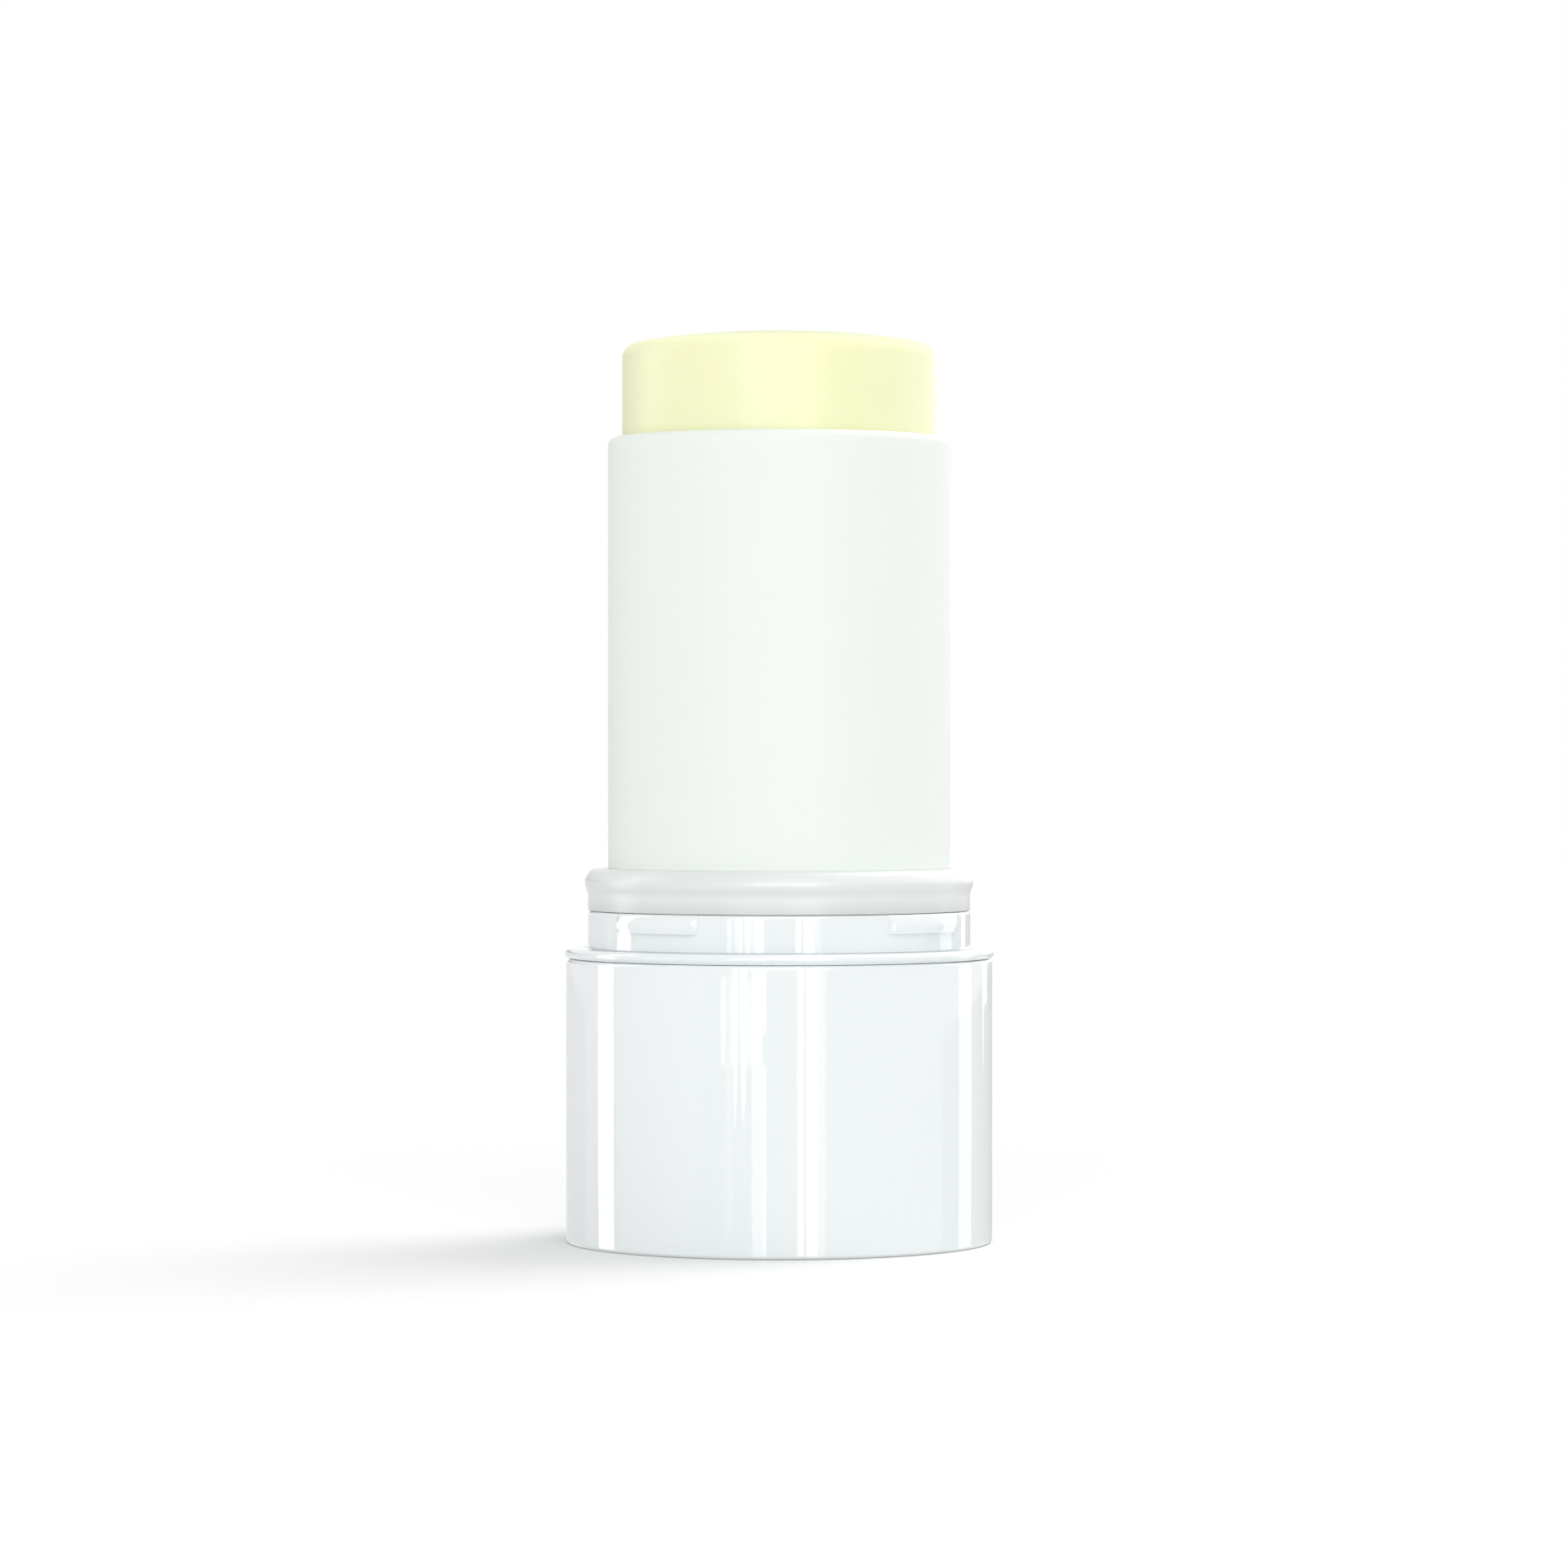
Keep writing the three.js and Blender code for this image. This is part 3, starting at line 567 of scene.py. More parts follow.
def sunscreen_wax(name, shade, deep, top):
    """Wax that light soaks into: a sheen and richer streaks on its side, a top without sheen whose
    darker colour is painted shade, ripples.
    """
    nodes = MaterialNodes(name)
    streak = nodes.noise(110.0, 2.0, stretch=(1.0, 1.0, 0.12))
    ripple = nodes.noise(160.0, 2.0, stretch=(1.0, 1.0, 0.5))
    pores = nodes.noise(3500.0, 3.0, 0.65)
    height = nodes.height()
    sheen = nodes.between(height, SHEEN_START, SHEEN_FULL)
    # Painted shade: the domed top takes the darker top colour
    dome_shade_mask = nodes.between(height, DOME_SHADE_START, DOME_SHADE_FULL)
    side_colour = nodes.mixed(nodes.ramp(streak, (0.35, 0.0), (0.65, 1.0)), shade, deep)
    return nodes.surfaced(
        Base_Color=nodes.mixed(dome_shade_mask, side_colour, top),
        Roughness=0.7 + 0.2 * pores, Specular_IOR_Level=0.0,
        Coat_Weight=0.6 * sheen, Coat_Roughness=0.36,
        Normal=nodes.bump(pores, 0.003 * MM, nodes.bump(ripple, 0.03 * MM)),
        Subsurface_Weight=0.25, Subsurface_Radius=(1.0, 0.95, 0.45), Subsurface_Scale=2.0 * MM,
    )


def natural_acetal(name, shade):
    """Uncoloured bearing plastic with fine turning lines."""
    nodes = MaterialNodes(name)
    cloud = nodes.noise(150.0, 3.0)
    lines = nodes.noise(4000.0, 1.0, stretch=(0.05, 0.05, 1.0))
    return nodes.surfaced(
        Base_Color=nodes.mottled(cloud, shade, 0.95, 1.05),
        Roughness=0.32 + 0.15 * lines,
        Normal=nodes.bump(lines, 0.004 * MM),
        Subsurface_Weight=0.1, Subsurface_Radius=(1.0, 0.9, 0.7), Subsurface_Scale=0.8 * MM,
    )


def silicone(name, shade):
    """Soft milky rubber with a dusting of fine powder."""
    nodes = MaterialNodes(name)
    powder = nodes.noise(5000.0, 4.0, 0.7)
    cloud = nodes.noise(400.0, 2.0)
    return nodes.surfaced(
        Base_Color=nodes.mottled(cloud, shade, 0.94, 1.04),
        Roughness=0.5 + 0.25 * powder,
        Normal=nodes.bump(powder, 0.003 * MM),
        Subsurface_Weight=0.25, Subsurface_Radius=(1.0, 0.95, 0.9), Subsurface_Scale=0.5 * MM,
    )


def spring_steel(name, shade):
    """Bright rolled strip with fine rolling marks."""
    nodes = MaterialNodes(name)
    marks = nodes.noise(9000.0, 2.0, stretch=(1.0, 0.04, 1.0))
    stain = nodes.noise(300.0, 3.0)
    return nodes.surfaced(
        Base_Color=nodes.mottled(stain, shade, 0.9, 1.08),
        Metallic=1.0,
        Roughness=0.22 + 0.16 * marks,
        Normal=nodes.bump(marks, 0.002 * MM),
    )


# Each finish: what makes it, and its colours
FINISHES = {
    "gloss_white_plastic": (gloss_white, "gloss_white"),
    # The neck's finish is the gloss white with painted shade
    "neck_white_plastic": (gloss_white, "neck_white"),
    # The collar's second colour is painted shade
    "satin_white_plastic": (satin_white, "satin_white", "satin_seam"),
    "frost_white_plastic": (frost_white, "frost_white"),
    "sunscreen_wax": (sunscreen_wax, "sunscreen", "sunscreen_deep", "sunscreen_top"),
    "natural_acetal_plastic": (natural_acetal, "natural_acetal"),
    "silicone_rubber": (silicone, "silicone"),
    "rolled_spring_steel": (spring_steel, "spring_steel"),
}


def finish(name):
    """The material of a finish, made once."""
    if name in bpy.data.materials:
        return bpy.data.materials[name]
    maker, *shades = FINISHES[name]
    colours = bpy.context.scene.sun_stick.colours
    return maker(name, *[getattr(colours, shade) for shade in shades])


class SUNSTICK_OT_base_shell(bpy.types.Operator):
    """Turn the glossy shell, with its foot ring and the rebate for the shoulder ring"""

    bl_idname = "sun_stick.base_shell"
    bl_label = "Base Shell"

    def execute(self, context):
        s = context.scene.sun_stick.base
        outer = s.shell_radius
        edge = s.shell_edge
        bore = outer - s.shell_wall
        floor_top = s.foot_recess + s.shell_floor
        rebate = s.sleeve_radius + s.ring_skirt - PRESS_GAP
        seat = s.ring_bottom - SEAT_GAP
        dimple_top = s.foot_recess + s.gate_depth
        mark_tip = s.foot_recess + s.gate_depth / 2
        outline = Outline(0.0, mark_tip)
        outline.line(
            (s.gate_mark * GATE_TIP, mark_tip),
            (s.gate_mark, dimple_top),
            (s.gate_radius - s.gate_depth, dimple_top),
            (s.gate_radius, s.foot_recess),
            (outer - s.foot_width - s.foot_recess, s.foot_recess),
            (outer - s.foot_width, 0.0),
            (outer - edge, 0.0),
        )
        outline.arc(outer - edge, edge, pi / 2).line((outer, s.shell_height - edge))
        outline.arc(outer - edge, s.shell_height - edge, pi / 2)
        outline.line(
            (rebate, s.shell_height),
            (rebate, seat),
            (bore, seat),
            (bore, floor_top),
            (0.0, floor_top),
        )
        finished_piece(
            "grip_base", outline.spun(),
            "base_shell", "base", "gloss_white_plastic",
        )
        return {"FINISHED"}


class SUNSTICK_OT_shoulder_ring(bpy.types.Operator):
    """Turn the round-edged ring between shell and neck, on which a cap stands"""

    bl_idname = "sun_stick.shoulder_ring"
    bl_label = "Shoulder Ring"

    def execute(self, context):
        s = context.scene.sun_stick.base
        half = s.ring_height / 2
        middle = s.ring_top - half
        bore = s.neck_radius + PRESS_GAP
        outline = Outline(bore, s.ring_bottom)
        outline.line(
            (bore + s.ring_skirt, s.ring_bottom),
            (bore + s.ring_skirt, middle - half),
            (s.ring_radius - half, middle - half),
        )
        outline.arc(s.ring_radius - half, middle, pi, 2 * ARC_STEPS)
        outline.line((s.cap_seat, s.ring_top), (bore, s.ring_top - s.ring_bevel))
        finished_piece(
            "shoulder_band", outline.spun(),
            "shoulder_ring", "base", "gloss_white_plastic",
        )
        return {"FINISHED"}


class SUNSTICK_OT_neck_sleeve(bpy.types.Operator):
    """Turn the sleeve with its neck, and raise the lugs that hold a cap"""

    bl_idname = "sun_stick.neck_sleeve"
    bl_label = "Neck Sleeve"

    def execute(self, context):
        s = context.scene.sun_stick.base
        snap_height = context.scene.sun_stick.barrel.snap_height
        edge = s.neck_edge
        floor_top = s.sleeve_floor + s.floor_thickness
        seat = s.ring_bottom - SEAT_GAP
        ring_low, ring_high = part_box("drag_ring")
        groove_bottom = ring_low.z - PRESS_GAP
        groove_top = ring_high.z + PRESS_GAP
        lug_bottom = s.neck_top - s.lug_height
        outline = Outline(s.socket_radius, s.sleeve_floor)
        outline.line(
            (s.neck_bore, s.sleeve_floor),
            (s.neck_bore, s.sleeve_bottom),
            (s.sleeve_radius, s.sleeve_bottom),
            (s.sleeve_radius, seat),
            (s.neck_radius, seat),
            (s.neck_radius, s.ring_top - s.ring_bevel),
            (s.neck_radius - s.neck_relief, s.ring_top - s.ring_bevel / 2),
            (s.neck_radius - s.neck_relief, s.ring_top),
            (s.neck_radius, s.ring_top + s.relief_height),
        )
        rise = s.neck_top - edge - lug_bottom
        for row in range(LUG_ROWS + 1):
            outline.line((s.neck_radius, lug_bottom + rise * row / LUG_ROWS))
        outline.arc(s.neck_radius - edge, s.neck_top - edge, pi / 2)
        outline.line(
            (s.neck_bore, s.neck_top),
            (s.neck_bore, groove_top),
            (s.groove_radius, groove_top),
            (s.groove_radius, groove_bottom),
            (s.neck_bore, groove_bottom),
        )
        outline.snap(s.neck_bore, snap_height, -s.snap_width, s.snap_depth)
        outline.line((s.neck_bore, floor_top), (s.socket_radius, floor_top))
        mesh = outline.spun()
        first_column = s.lug_turn - s.lug_columns * COLUMN_ANGLE / 2
        turn = Matrix.Rotation(first_column, 3, "Z")
        bmesh.ops.rotate(mesh, cent=ORIGIN, matrix=turn, verts=mesh.verts)
        for index in range(s.lug_count):
            self.raise_lug(mesh, s, s.lug_turn + index * tau / s.lug_count)
        finished_piece(
            "lugged_neck", mesh,
            "neck_sleeve", "base", "neck_white_plastic",
        )
        return {"FINISHED"}

    def raise_lug(self, mesh, s, middle):
        """Raise one lug from the neck's wall: round from foot to top, with sloping ends."""
        bottom = s.neck_top - s.lug_height
        crest = bottom + s.lug_crest
        depth = s.neck_edge + PATCH_MARGIN
        patch = wall_patch(mesh, s.neck_radius, bottom, s.neck_top, middle, s.lug_columns, depth)
        last_column = (s.lug_columns - 1) * COLUMN_ANGLE / 2

        def shift(place):
            lean = max(0.0, place.z - crest) / (s.neck_top - crest)
            tuck = max(0.0, crest - place.z) / s.lug_crest
            out = s.lug_out - s.lug_lean * lean ** 2 - s.lug_tuck * tuck ** 2
            turn = abs(remainder(atan2(place.y, place.x) - middle, tau))
            return out * s.lug_end if turn > last_column else out

        faces = raised(mesh, patch, shift)
        near_top = s.neck_top - MERGE_DISTANCE
        near_bottom = bottom + MERGE_DISTANCE
        rounded = set()
        for face in faces:
            for edge in face.edges:
                at_border = any(other not in faces for other in edge.link_faces)
                if at_border and min(point.co.z for point in edge.verts) < near_top:
                    rounded.add(edge)
        # The edges that stand out from the wall at a lug's lower corners are rounded too
        for edge in list(rounded):
            for point in edge.verts:
                corner = sum(other in rounded for other in point.link_edges) == 2
                along_bottom = [abs(other.other_vert(point).co.z - bottom) < MERGE_DISTANCE
                                for other in point.link_edges if other in rounded]
                if point.co.z < near_bottom and corner and not all(along_bottom):
                    rounded.update(
                        other for other in point.link_edges
                        if not faces.intersection(other.link_faces)
                    )
        bmesh.ops.bevel(
            mesh, geom=list(rounded), offset=s.lug_round, offset_type="OFFSET",
            segments=LUG_ROUND_STEPS, profile=0.5, affect="EDGES", clamp_overlap=True, material=-1,
        )


class SUNSTICK_OT_barrel(bpy.types.Operator):
    """Turn the frosted barrel and sink the two keyways into its bore"""

    bl_idname = "sun_stick.barrel"
    bl_label = "Barrel"

    def execute(self, context):
        s = context.scene.sun_stick.barrel
        bore = s.radius - s.wall
        lower = s.radius + s.step
        floor_top = s.bottom + s.floor
        outline = Outline(s.hub_bore, s.hub_bottom)
        outline.line((s.hub_radius, s.hub_bottom), (s.hub_radius, s.bottom), (lower, s.bottom))
        outline.snap(lower, s.snap_height, s.snap_width, s.snap_out)
        outline.line((lower, s.step_height), (s.radius, s.step_height), (s.radius, s.top - s.rim))
        outline.arc(s.radius - s.rim, s.top - s.rim, pi / 2)
        outline.line((bore + s.lip, s.top))
        outline.arc(bore + s.lip, s.top - s.lip, pi / 2)
        outline.line(
            (bore, s.keyway_top),
            (bore, s.keyway_bottom),
            (bore, floor_top),
            (s.hub_bore, floor_top),
        )
        mesh = outline.spun()
        for middle in (0.0, pi):
            patch = wall_patch(
                mesh, bore, s.keyway_bottom, s.keyway_top, middle, s.keyway_columns, s.wall / 4,
            )
            raised(mesh, patch, lambda place: s.keyway_depth)
        finished_piece(
            "frosted_barrel", mesh,
            "barrel", "barrel", "frost_white_plastic",
        )
        return {"FINISHED"}


class SUNSTICK_OT_seal_collar(bpy.types.Operator):
    """Turn the satin collar with the round bead that seals against a cap"""

    bl_idname = "sun_stick.seal_collar"
    bl_label = "Seal Collar"

    def execute(self, context):
        s = context.scene.sun_stick.barrel
        inner = s.radius + s.collar_gap
        outer = s.collar_radius
        edge = s.collar_edge
        skirt_top = s.collar_bottom + s.collar_skirt
        bead_height = s.collar_top - s.collar_crown
        pull = (bead_height - skirt_top) / 2
        round_pull = 0.25
        crown_start = s.bead_radius - s.bead_round
        outline = Outline(inner, s.collar_bottom)
        outline.line((outer - edge, s.collar_bottom))
        outline.arc(outer - edge, s.collar_bottom + edge, pi / 2)
        outline.line((outer, skirt_top))
        outline.bend(
            (outer, skirt_top + pull),
            (s.bead_radius, bead_height - pull),
            (s.bead_radius, bead_height),
        )
        outline.bend(
            (s.bead_radius, bead_height + round_pull * s.collar_crown),
            (crown_start + round_pull * s.bead_round, s.collar_top),
            (crown_start, s.collar_top),
        )
        outline.line((inner, s.collar_top + s.collar_rise))
        finished_piece(
            "beaded_collar", outline.spun(),
            "seal_collar", "barrel", "satin_white_plastic",
        )
        return {"FINISHED"}


class SUNSTICK_OT_sunscreen(bpy.types.Operator):
    """Turn the domed stick of sunscreen with the bore that clears the spindle"""

    bl_idname = "sun_stick.sunscreen"
    bl_label = "Stick of Sunscreen"

    def execute(self, context):
        s = context.scene.sun_stick.sunscreen
        dome_middle = s.top - s.dome
        edge_radius = s.radius - s.edge
        reach = s.dome - s.edge
        edge_height = dome_middle + sqrt(reach ** 2 - edge_radius ** 2)
        meeting = acos(edge_radius / reach)
        bore_top = s.top - s.bore_cover
        post_top = s.bottom + s.post_height
        foot_top = s.bottom + s.foot_height
        outline = Outline(0.0, bore_top)
        outline.line(
            (s.bore, bore_top),
            (s.bore, post_top),
            (s.post_bore, post_top),
            (s.post_bore, s.bottom),
            (s.foot, s.bottom),
            (s.foot, foot_top),
            (s.radius, foot_top),
            (s.radius, edge_height),
        )
        outline.arc(edge_radius, edge_height, meeting, 2 * ARC_STEPS)
        outline.arc(0.0, dome_middle, pi / 2 - meeting, 2 * ARC_STEPS)
        finished_piece(
            "domed_sunscreen", outline.spun(),
            "sunscreen_stick", "elevator", "sunscreen_wax",
        )
        return {"FINISHED"}


class SUNSTICK_OT_rubber_rings(bpy.types.Operator):
    """Spin the two rubber rings, round in section, into the places of their CAD nodes"""

    bl_idname = "sun_stick.rubber_rings"
    bl_label = "Rubber Rings"

    def execute(self, context):
        rings = {"round_drag_ring": "drag_ring", "round_spindle_seal": "spindle_seal"}
        for name, node in rings.items():
            low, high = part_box(node)
            section = (high.z - low.z) / 2
            mesh = bmesh.new()
            bmesh.ops.create_circle(mesh, segments=RUBBER_SIDES, radius=section)
            stand = Matrix.Rotation(pi / 2, 3, "X")
            bmesh.ops.rotate(mesh, cent=ORIGIN, matrix=stand, verts=mesh.verts)
            middle = (high.x - section, 0.0, (low.z + high.z) / 2)
            bmesh.ops.translate(mesh, vec=middle, verts=mesh.verts)
            spin_round(mesh, RUBBER_COLUMNS)
            finished_piece(name, mesh, node, "base", "silicone_rubber")
        return {"FINISHED"}


class SUNSTICK_OT_inner_finishes(bpy.types.Operator):
    """Give the pieces inside, whose CAD shapes stay, their finishes"""

    bl_idname = "sun_stick.inner_finishes"
    bl_label = "Inner Finishes"

    def execute(self, context):
        finishes = {
            "spindle": "natural_acetal_plastic",
            "thrust_washer": "natural_acetal_plastic",
            "spindle_clip": "rolled_spring_steel",
            "elevator": "frost_white_plastic",
        }
        for node, name in finishes.items():
            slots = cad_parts[node].data.materials
            slots.clear()
            slots.append(finish(name))
        return {"FINISHED"}


# The width of the camera's sensor in millimetres, and the nearest distance that it sees
SENSOR_WIDTH = 36.0
NEAREST_SEEN = 0.01
# The floor's radius, the distance from the axis where it starts to fade, and how far it lies
# under the foot
FLOOR_RADIUS = 3.0
FLOOR_FADE = 1.0
FLOOR_DROP = 0.02 * MM
FLOOR_SIDES = 96
# A light is placed round the axis by its azimuth from the front, positive to the right, in degrees
Strip = namedtuple("Strip", "name start end bottom top radiance shape", defaults=["RECTANGLE"])
STRIP_DISTANCE = 0.6
STRIPS = (
    Strip("left_strip", -113.1, -99.1, -0.22, 0.6, 3.0),
    Strip("front_left_haze", -27.8, -24.3, -0.1, 0.6, 0.4),
    Strip("front_left_sliver", -24.3, -21.6, -0.036, 0.3, 2.4, "ELLIPSE"),
    Strip("front_left_wedge", -20.9, -16.4, -0.032, 0.3, 2.4, "ELLIPSE"),
    Strip("front_left_strip", -14.2, -8.7, -0.22, 0.6, 1.3),
    Strip("front_left_edge", -8.7, -6.7, -0.22, 0.0, 2.2),
    Strip("high_left_edge", -8.7, -6.7, 0.02, 0.6, 2.2),
    Strip("front_right_sliver", 9.7, 12.9, -0.22, 0.6, 2.9),
    Strip("front_right_strip", 14.4, 20.4, -0.22, 0.6, 3.4),
    Strip("front_right_haze", 20.4, 24.5, -0.22, 0.6, 1.0),
    Strip("right_strip", 112.1, 125.8, -0.22, 0.6, 1.0),
    Strip("right_sliver", 141.0, 144.4, -0.018, 0.2, 0.9, "ELLIPSE"),
    Strip("right_neck_strip", 144.5, 150.0, 0.002, 0.08, 1.2),
    Strip("neck_left_line", -30.75, -28.1, 0.0, 0.05, 1.6),
    Strip("neck_left_sliver", -25.9, -21.1, 0.0, 0.05, 1.2),
    Strip("neck_left_strip", -18.65, -8.9, 0.0, 0.05, 1.2),
    Strip("front_band", -20.0, 30.0, 0.06, 0.36, 3.0),
    Strip("rear_right_band", 142.0, 174.0, 0.09, 0.45, 1.3),
)
# Grey cards round the object, which only its gloss shows. From its top down, over a share of its
# height, a card fades to the brightness of its foot
Card = namedtuple("Card", "name start end distance bottom top brightness foot")
CARDS = (
    Card("rear_right_card", 98.0, 180.0, 1.2, -0.6, 0.0, 0.64, 0.64),
    Card("rear_left_card", 180.0, 232.0, 1.2, -0.6, 0.0, 0.82, 0.82),
    Card("high_left_card", 194.0, 238.0, 1.2, 0.09, 0.26, 0.3, 0.3),
    Card("low_ring_card", 0.0, 360.0, 0.9, -2.4, -0.15, 1.0, 0.4),
)
CARD_STEPS = 96
CARD_FADE = 1 / 3
# A broad light is as even over the floor as a sun, its spread softens its shadow, and its level is
# the brightness that it gives a white card that faces it
Broad = namedtuple("Broad", "name azimuth elevation spread level")
BROAD_LIGHTS = (
    Broad("key_light", 125.0, 63.0, 32.0, 0.31),
    Broad("fill_light", 3.0, 32.0, 50.0, 0.23),
    Broad("left_light", -70.0, 8.0, 60.0, 0.04),
    Broad("rim_light", 133.0, 36.0, 24.0, 0.045),
)


def toward(azimuth, elevation=0.0):
    """The direction from the object at an azimuth and elevation."""
    return Vector((sin(azimuth) * cos(elevation), -cos(azimuth) * cos(elevation), sin(elevation)))


def hung_light(light, place, aim):
    """Hang a light where it looks at a point and stays out of the camera's view."""
    lamp = bpy.data.objects.new(light.name, light)
    lamp.location = place
    lamp.rotation_euler = (aim - place).to_track_quat("-Z", "Y").to_euler()
    lamp.visible_camera = False
    bpy.context.scene.collection.objects.link(lamp)
    return lamp


def area_light(name, width, height, radiance, shape):
    """A flat light of a given brightness."""
    light = bpy.data.lights.new(name, "AREA")
    light.shape = shape
    light.size = width
    light.size_y = height
    area = width * height * (pi / 4 if shape == "ELLIPSE" else 1.0)
    light.energy = radiance * pi * area
    return light


class SUNSTICK_OT_stage(bpy.types.Operator):
    """Set the camera, the white surroundings, the floor, the cards and the lights"""

    bl_idname = "sun_stick.stage"
    bl_label = "Stage"

    def execute(self, context):
        scene = context.scene
        stage = scene.sun_stick.stage
        scene.view_settings.view_transform = "Standard"
        self.set_camera(scene, stage)
        self.set_surroundings(scene, stage)
        self.lay_floor(scene, stage)
        for card in CARDS:
            self.stand_card(scene, card)
        for strip in STRIPS:
            self.hang_strip(strip)
        for broad in BROAD_LIGHTS:
            self.hang_broad_light(broad)
        return {"FINISHED"}

    def set_camera(self, scene, stage):
        data = bpy.data.cameras.new("photo_camera")
        data.sensor_width = SENSOR_WIDTH
        data.lens = stage.lens
        data.clip_start = NEAREST_SEEN
        camera = bpy.data.objects.new("photo_camera", data)
        camera.location = stage.camera_place
        aim = Vector((stage.camera_place[0], 0.0, stage.camera_aim))
        camera.rotation_euler = (aim - camera.location).to_track_quat("-Z", "Y").to_euler()
        scene.collection.objects.link(camera)
        scene.camera = camera

    def background_rays(self, nodes):
        """One for rays that show a background: from the camera, mirrored or let through."""
        rays = [
            nodes.add("ShaderNodeLightPath", output=output)
            for output in ("Is Camera Ray", "Is Glossy Ray", "Is Transmission Ray")
        ]
        return rays[0].or_more(rays[1]).or_more(rays[2])

    def set_surroundings(self, scene, stage):
        """White where it is seen, and an even light of its own strength where it lights."""
        scene.world = bpy.data.worlds.new("white_studio")
        scene.world.use_nodes = True
        nodes = Nodes(scene.world.node_tree)
        seen = self.background_rays(nodes)
        strength = stage.sky + (1.0 - stage.sky) * seen
        sockets = {"Color": (1.0, 1.0, 1.0, 1.0), "Strength": strength}
        sky = nodes.add("ShaderNodeBackground", sockets=sockets)
        nodes.add("ShaderNodeOutputWorld", sockets={"Surface": sky})

    def lay_floor(self, scene, stage):
        """A wide pale floor that fades out towards its rim and doesn't show in the gloss."""
        mesh = bmesh.new()
        bmesh.ops.create_circle(mesh, cap_ends=True, segments=FLOOR_SIDES, radius=FLOOR_RADIUS)
        bmesh.ops.translate(mesh, vec=(0.0, 0.0, -FLOOR_DROP), verts=mesh.verts)
        nodes = MaterialNodes("white_floor")
        shade = nodes.mixed(self.background_rays(nodes), stage.floor_colour, stage.floor_seen)
        matt = nodes.add("ShaderNodeBsdfDiffuse", sockets={"Color": shade})
        clear = nodes.add("ShaderNodeBsdfTransparent")
        distance = nodes.add(
            "ShaderNodeVectorMath", {"operation": "LENGTH"}, {0: nodes.place()}, output="Value",
        )
        fading = nodes.between(distance, FLOOR_FADE, FLOOR_RADIUS)
        surface = nodes.add("ShaderNodeMixShader", sockets={"Fac": fading, 1: matt, 2: clear})
        floor = self.stage_object(scene, "floor", mesh, nodes.ended(surface))
        floor.visible_glossy = False

    def stand_card(self, scene, card):
        """A curved card that glows and is seen only in the gloss."""
        mesh = bmesh.new()
        level = Vector((0.0, 0.0, card.bottom))
        foot = mesh.verts.new(toward(radians(card.start)) * card.distance + level)
        head = mesh.verts.new((foot.co.x, foot.co.y, card.top))
        upright = mesh.edges.new((foot, head))
        bmesh.ops.spin(
            mesh, geom=[foot, head, upright], cent=ORIGIN, axis=UP,
            angle=radians(card.end - card.start), steps=CARD_STEPS,
        )
        nodes = MaterialNodes(card.name)
        fade_end = card.top + (card.bottom - card.top) * CARD_FADE
        faded = nodes.between(nodes.height(), card.top, fade_end)
        strength = card.brightness + (card.foot - card.brightness) * faded
        glow = nodes.add("ShaderNodeEmission", sockets={"Strength": strength})
        thing = self.stage_object(scene, card.name, mesh, nodes.ended(glow))
        thing.visible_camera = False
        thing.visible_diffuse = False
        thing.visible_shadow = False

    def stage_object(self, scene, name, mesh, material):
        data = bpy.data.meshes.new(name)
        mesh.to_mesh(data)
        mesh.free()
        data.materials.append(material)
        thing = bpy.data.objects.new(name, data)
        scene.collection.objects.link(thing)
        return thing

    def hang_strip(self, strip):
        """A tall narrow light that shows in the gloss and adds nothing to matt surfaces."""
        middle = radians(strip.start + strip.end) / 2
        width = 2 * STRIP_DISTANCE * sin(radians(strip.end - strip.start) / 2)
        light = area_light(strip.name, width, strip.top - strip.bottom, strip.radiance, strip.shape)
        level = Vector((0.0, 0.0, (strip.top + strip.bottom) / 2))
        lamp = hung_light(light, toward(middle) * STRIP_DISTANCE + level, level)
        lamp.visible_diffuse = False

    def hang_broad_light(self, broad):
        """A light that shines on everything from one side."""
        light = bpy.data.lights.new(broad.name, "SUN")
        light.energy = broad.level * pi
        light.angle = radians(broad.spread)
        hung_light(light, toward(radians(broad.azimuth), radians(broad.elevation)), Vector())


class SUNSTICK_PT_pieces(bpy.types.Panel):
    """Lists the steps that make the sunscreen stick, and its settings"""

    bl_idname = "SUNSTICK_PT_pieces"
    bl_label = "Sunscreen Stick"
    bl_space_type = "VIEW_3D"
    bl_region_type = "UI"
    bl_category = "Sunscreen Stick"

    def draw(self, context):
        settings = context.scene.sun_stick
        for step in OPERATORS:
            self.layout.operator(step.bl_idname)
        for part in settings.__annotations__:
            group = getattr(settings, part)
            box = self.layout.box()
            for name in group.__annotations__:
                box.prop(group, name)


GROUPS = (BaseSizes, BarrelSizes, SunscreenSizes, FinishColours, StageSettings, SunStickSettings)
OPERATORS = (
    SUNSTICK_OT_base_shell,
    SUNSTICK_OT_shoulder_ring,
    SUNSTICK_OT_neck_sleeve,
    SUNSTICK_OT_barrel,
    SUNSTICK_OT_seal_collar,
    SUNSTICK_OT_sunscreen,
    SUNSTICK_OT_rubber_rings,
    SUNSTICK_OT_inner_finishes,
    SUNSTICK_OT_stage,
)
CLASSES = (*GROUPS, *OPERATORS, SUNSTICK_PT_pieces)


def register():
    for cls in CLASSES:
        bpy.utils.register_class(cls)
    bpy.types.Scene.sun_stick = PointerProperty(type=SunStickSettings)


def unregister():
    del bpy.types.Scene.sun_stick
    for cls in reversed(CLASSES):
        bpy.utils.unregister_class(cls)


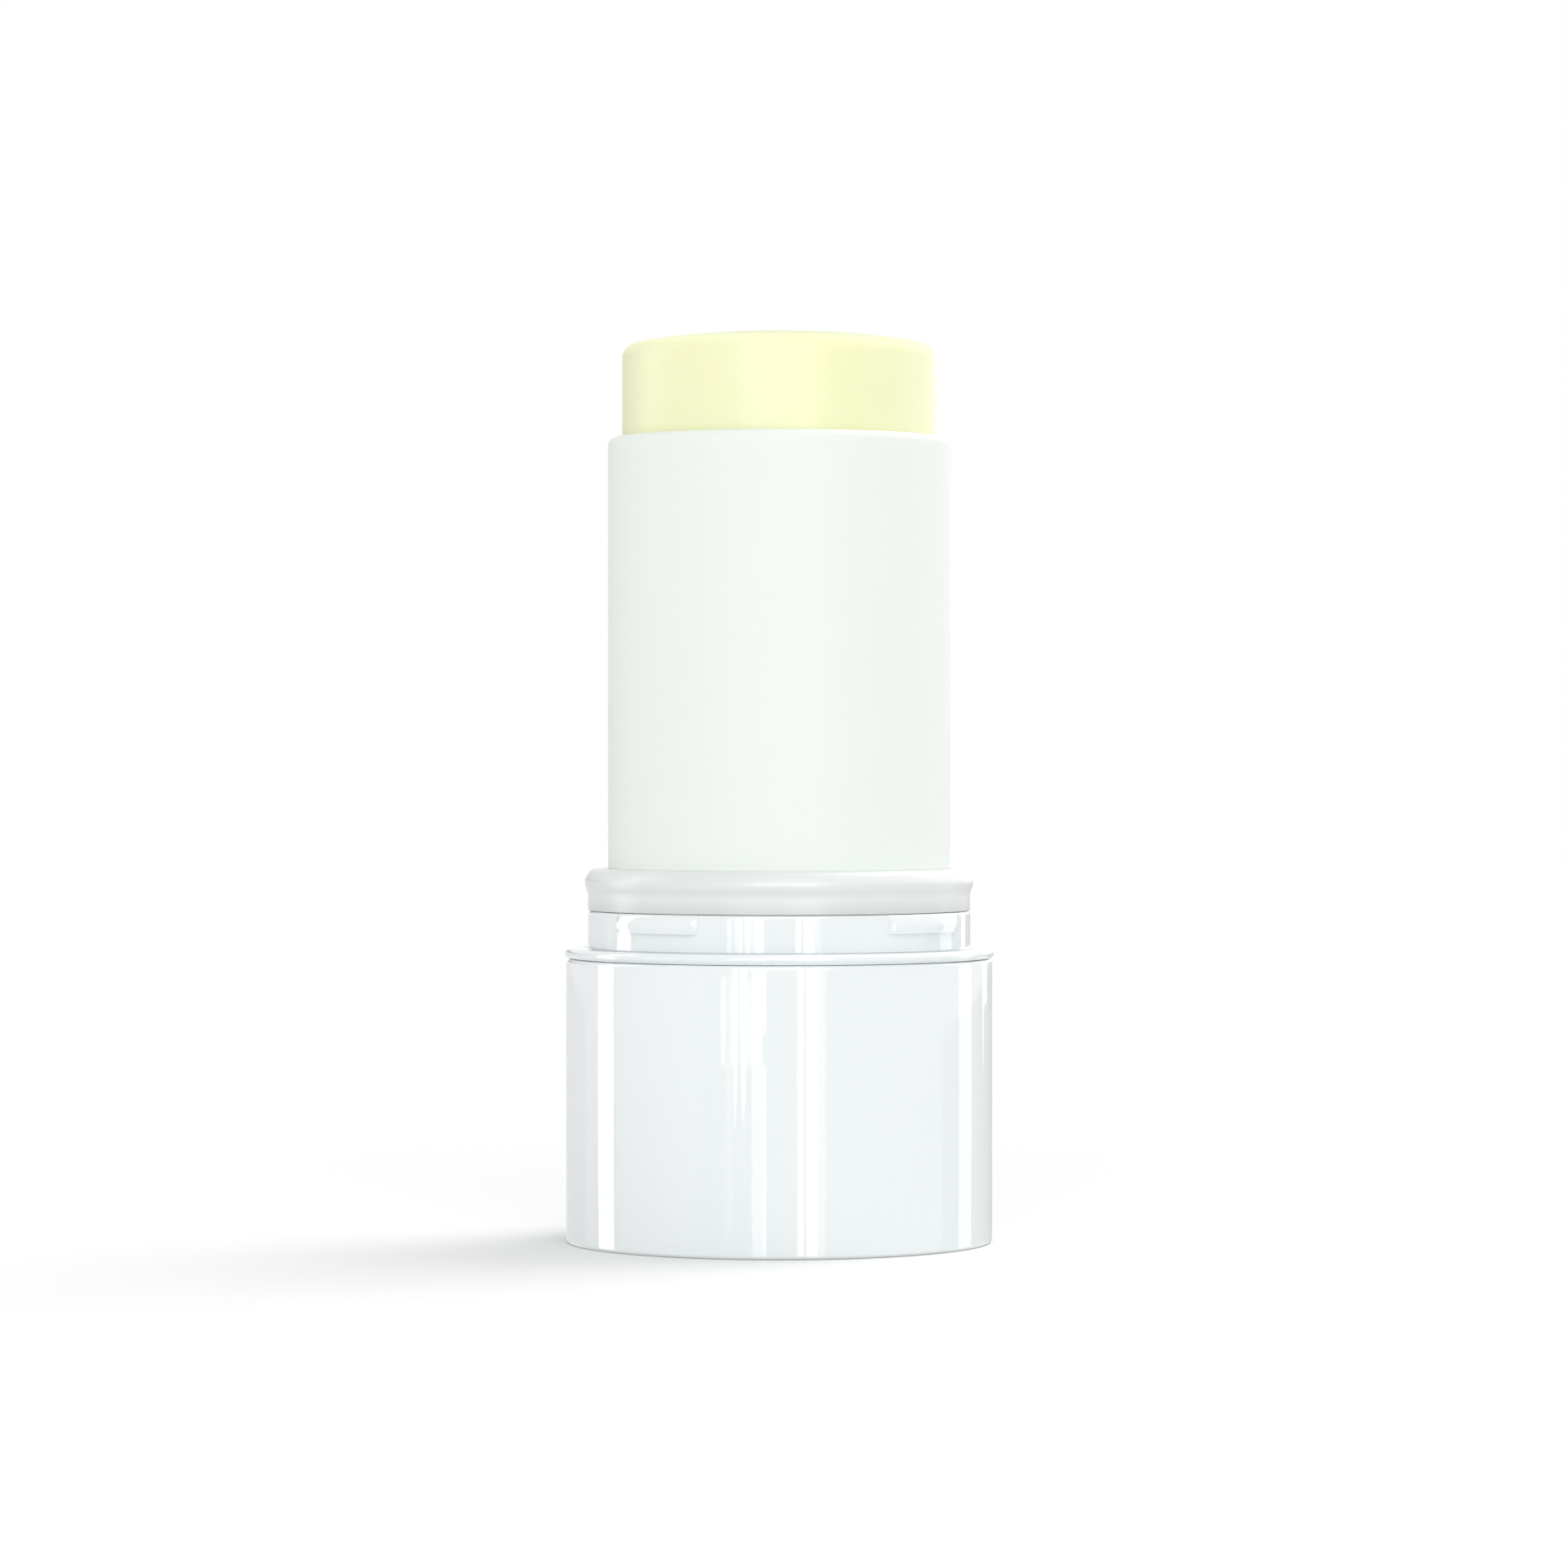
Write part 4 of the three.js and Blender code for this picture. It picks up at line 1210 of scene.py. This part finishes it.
def main():
    """Make every piece and the stage."""
    register()
    bpy.ops.sun_stick.base_shell()
    bpy.ops.sun_stick.shoulder_ring()
    bpy.ops.sun_stick.neck_sleeve()
    bpy.ops.sun_stick.barrel()
    bpy.ops.sun_stick.seal_collar()
    bpy.ops.sun_stick.sunscreen()
    bpy.ops.sun_stick.rubber_rings()
    bpy.ops.sun_stick.inner_finishes()
    bpy.ops.sun_stick.stage()


if __name__ == "__main__":
    main()
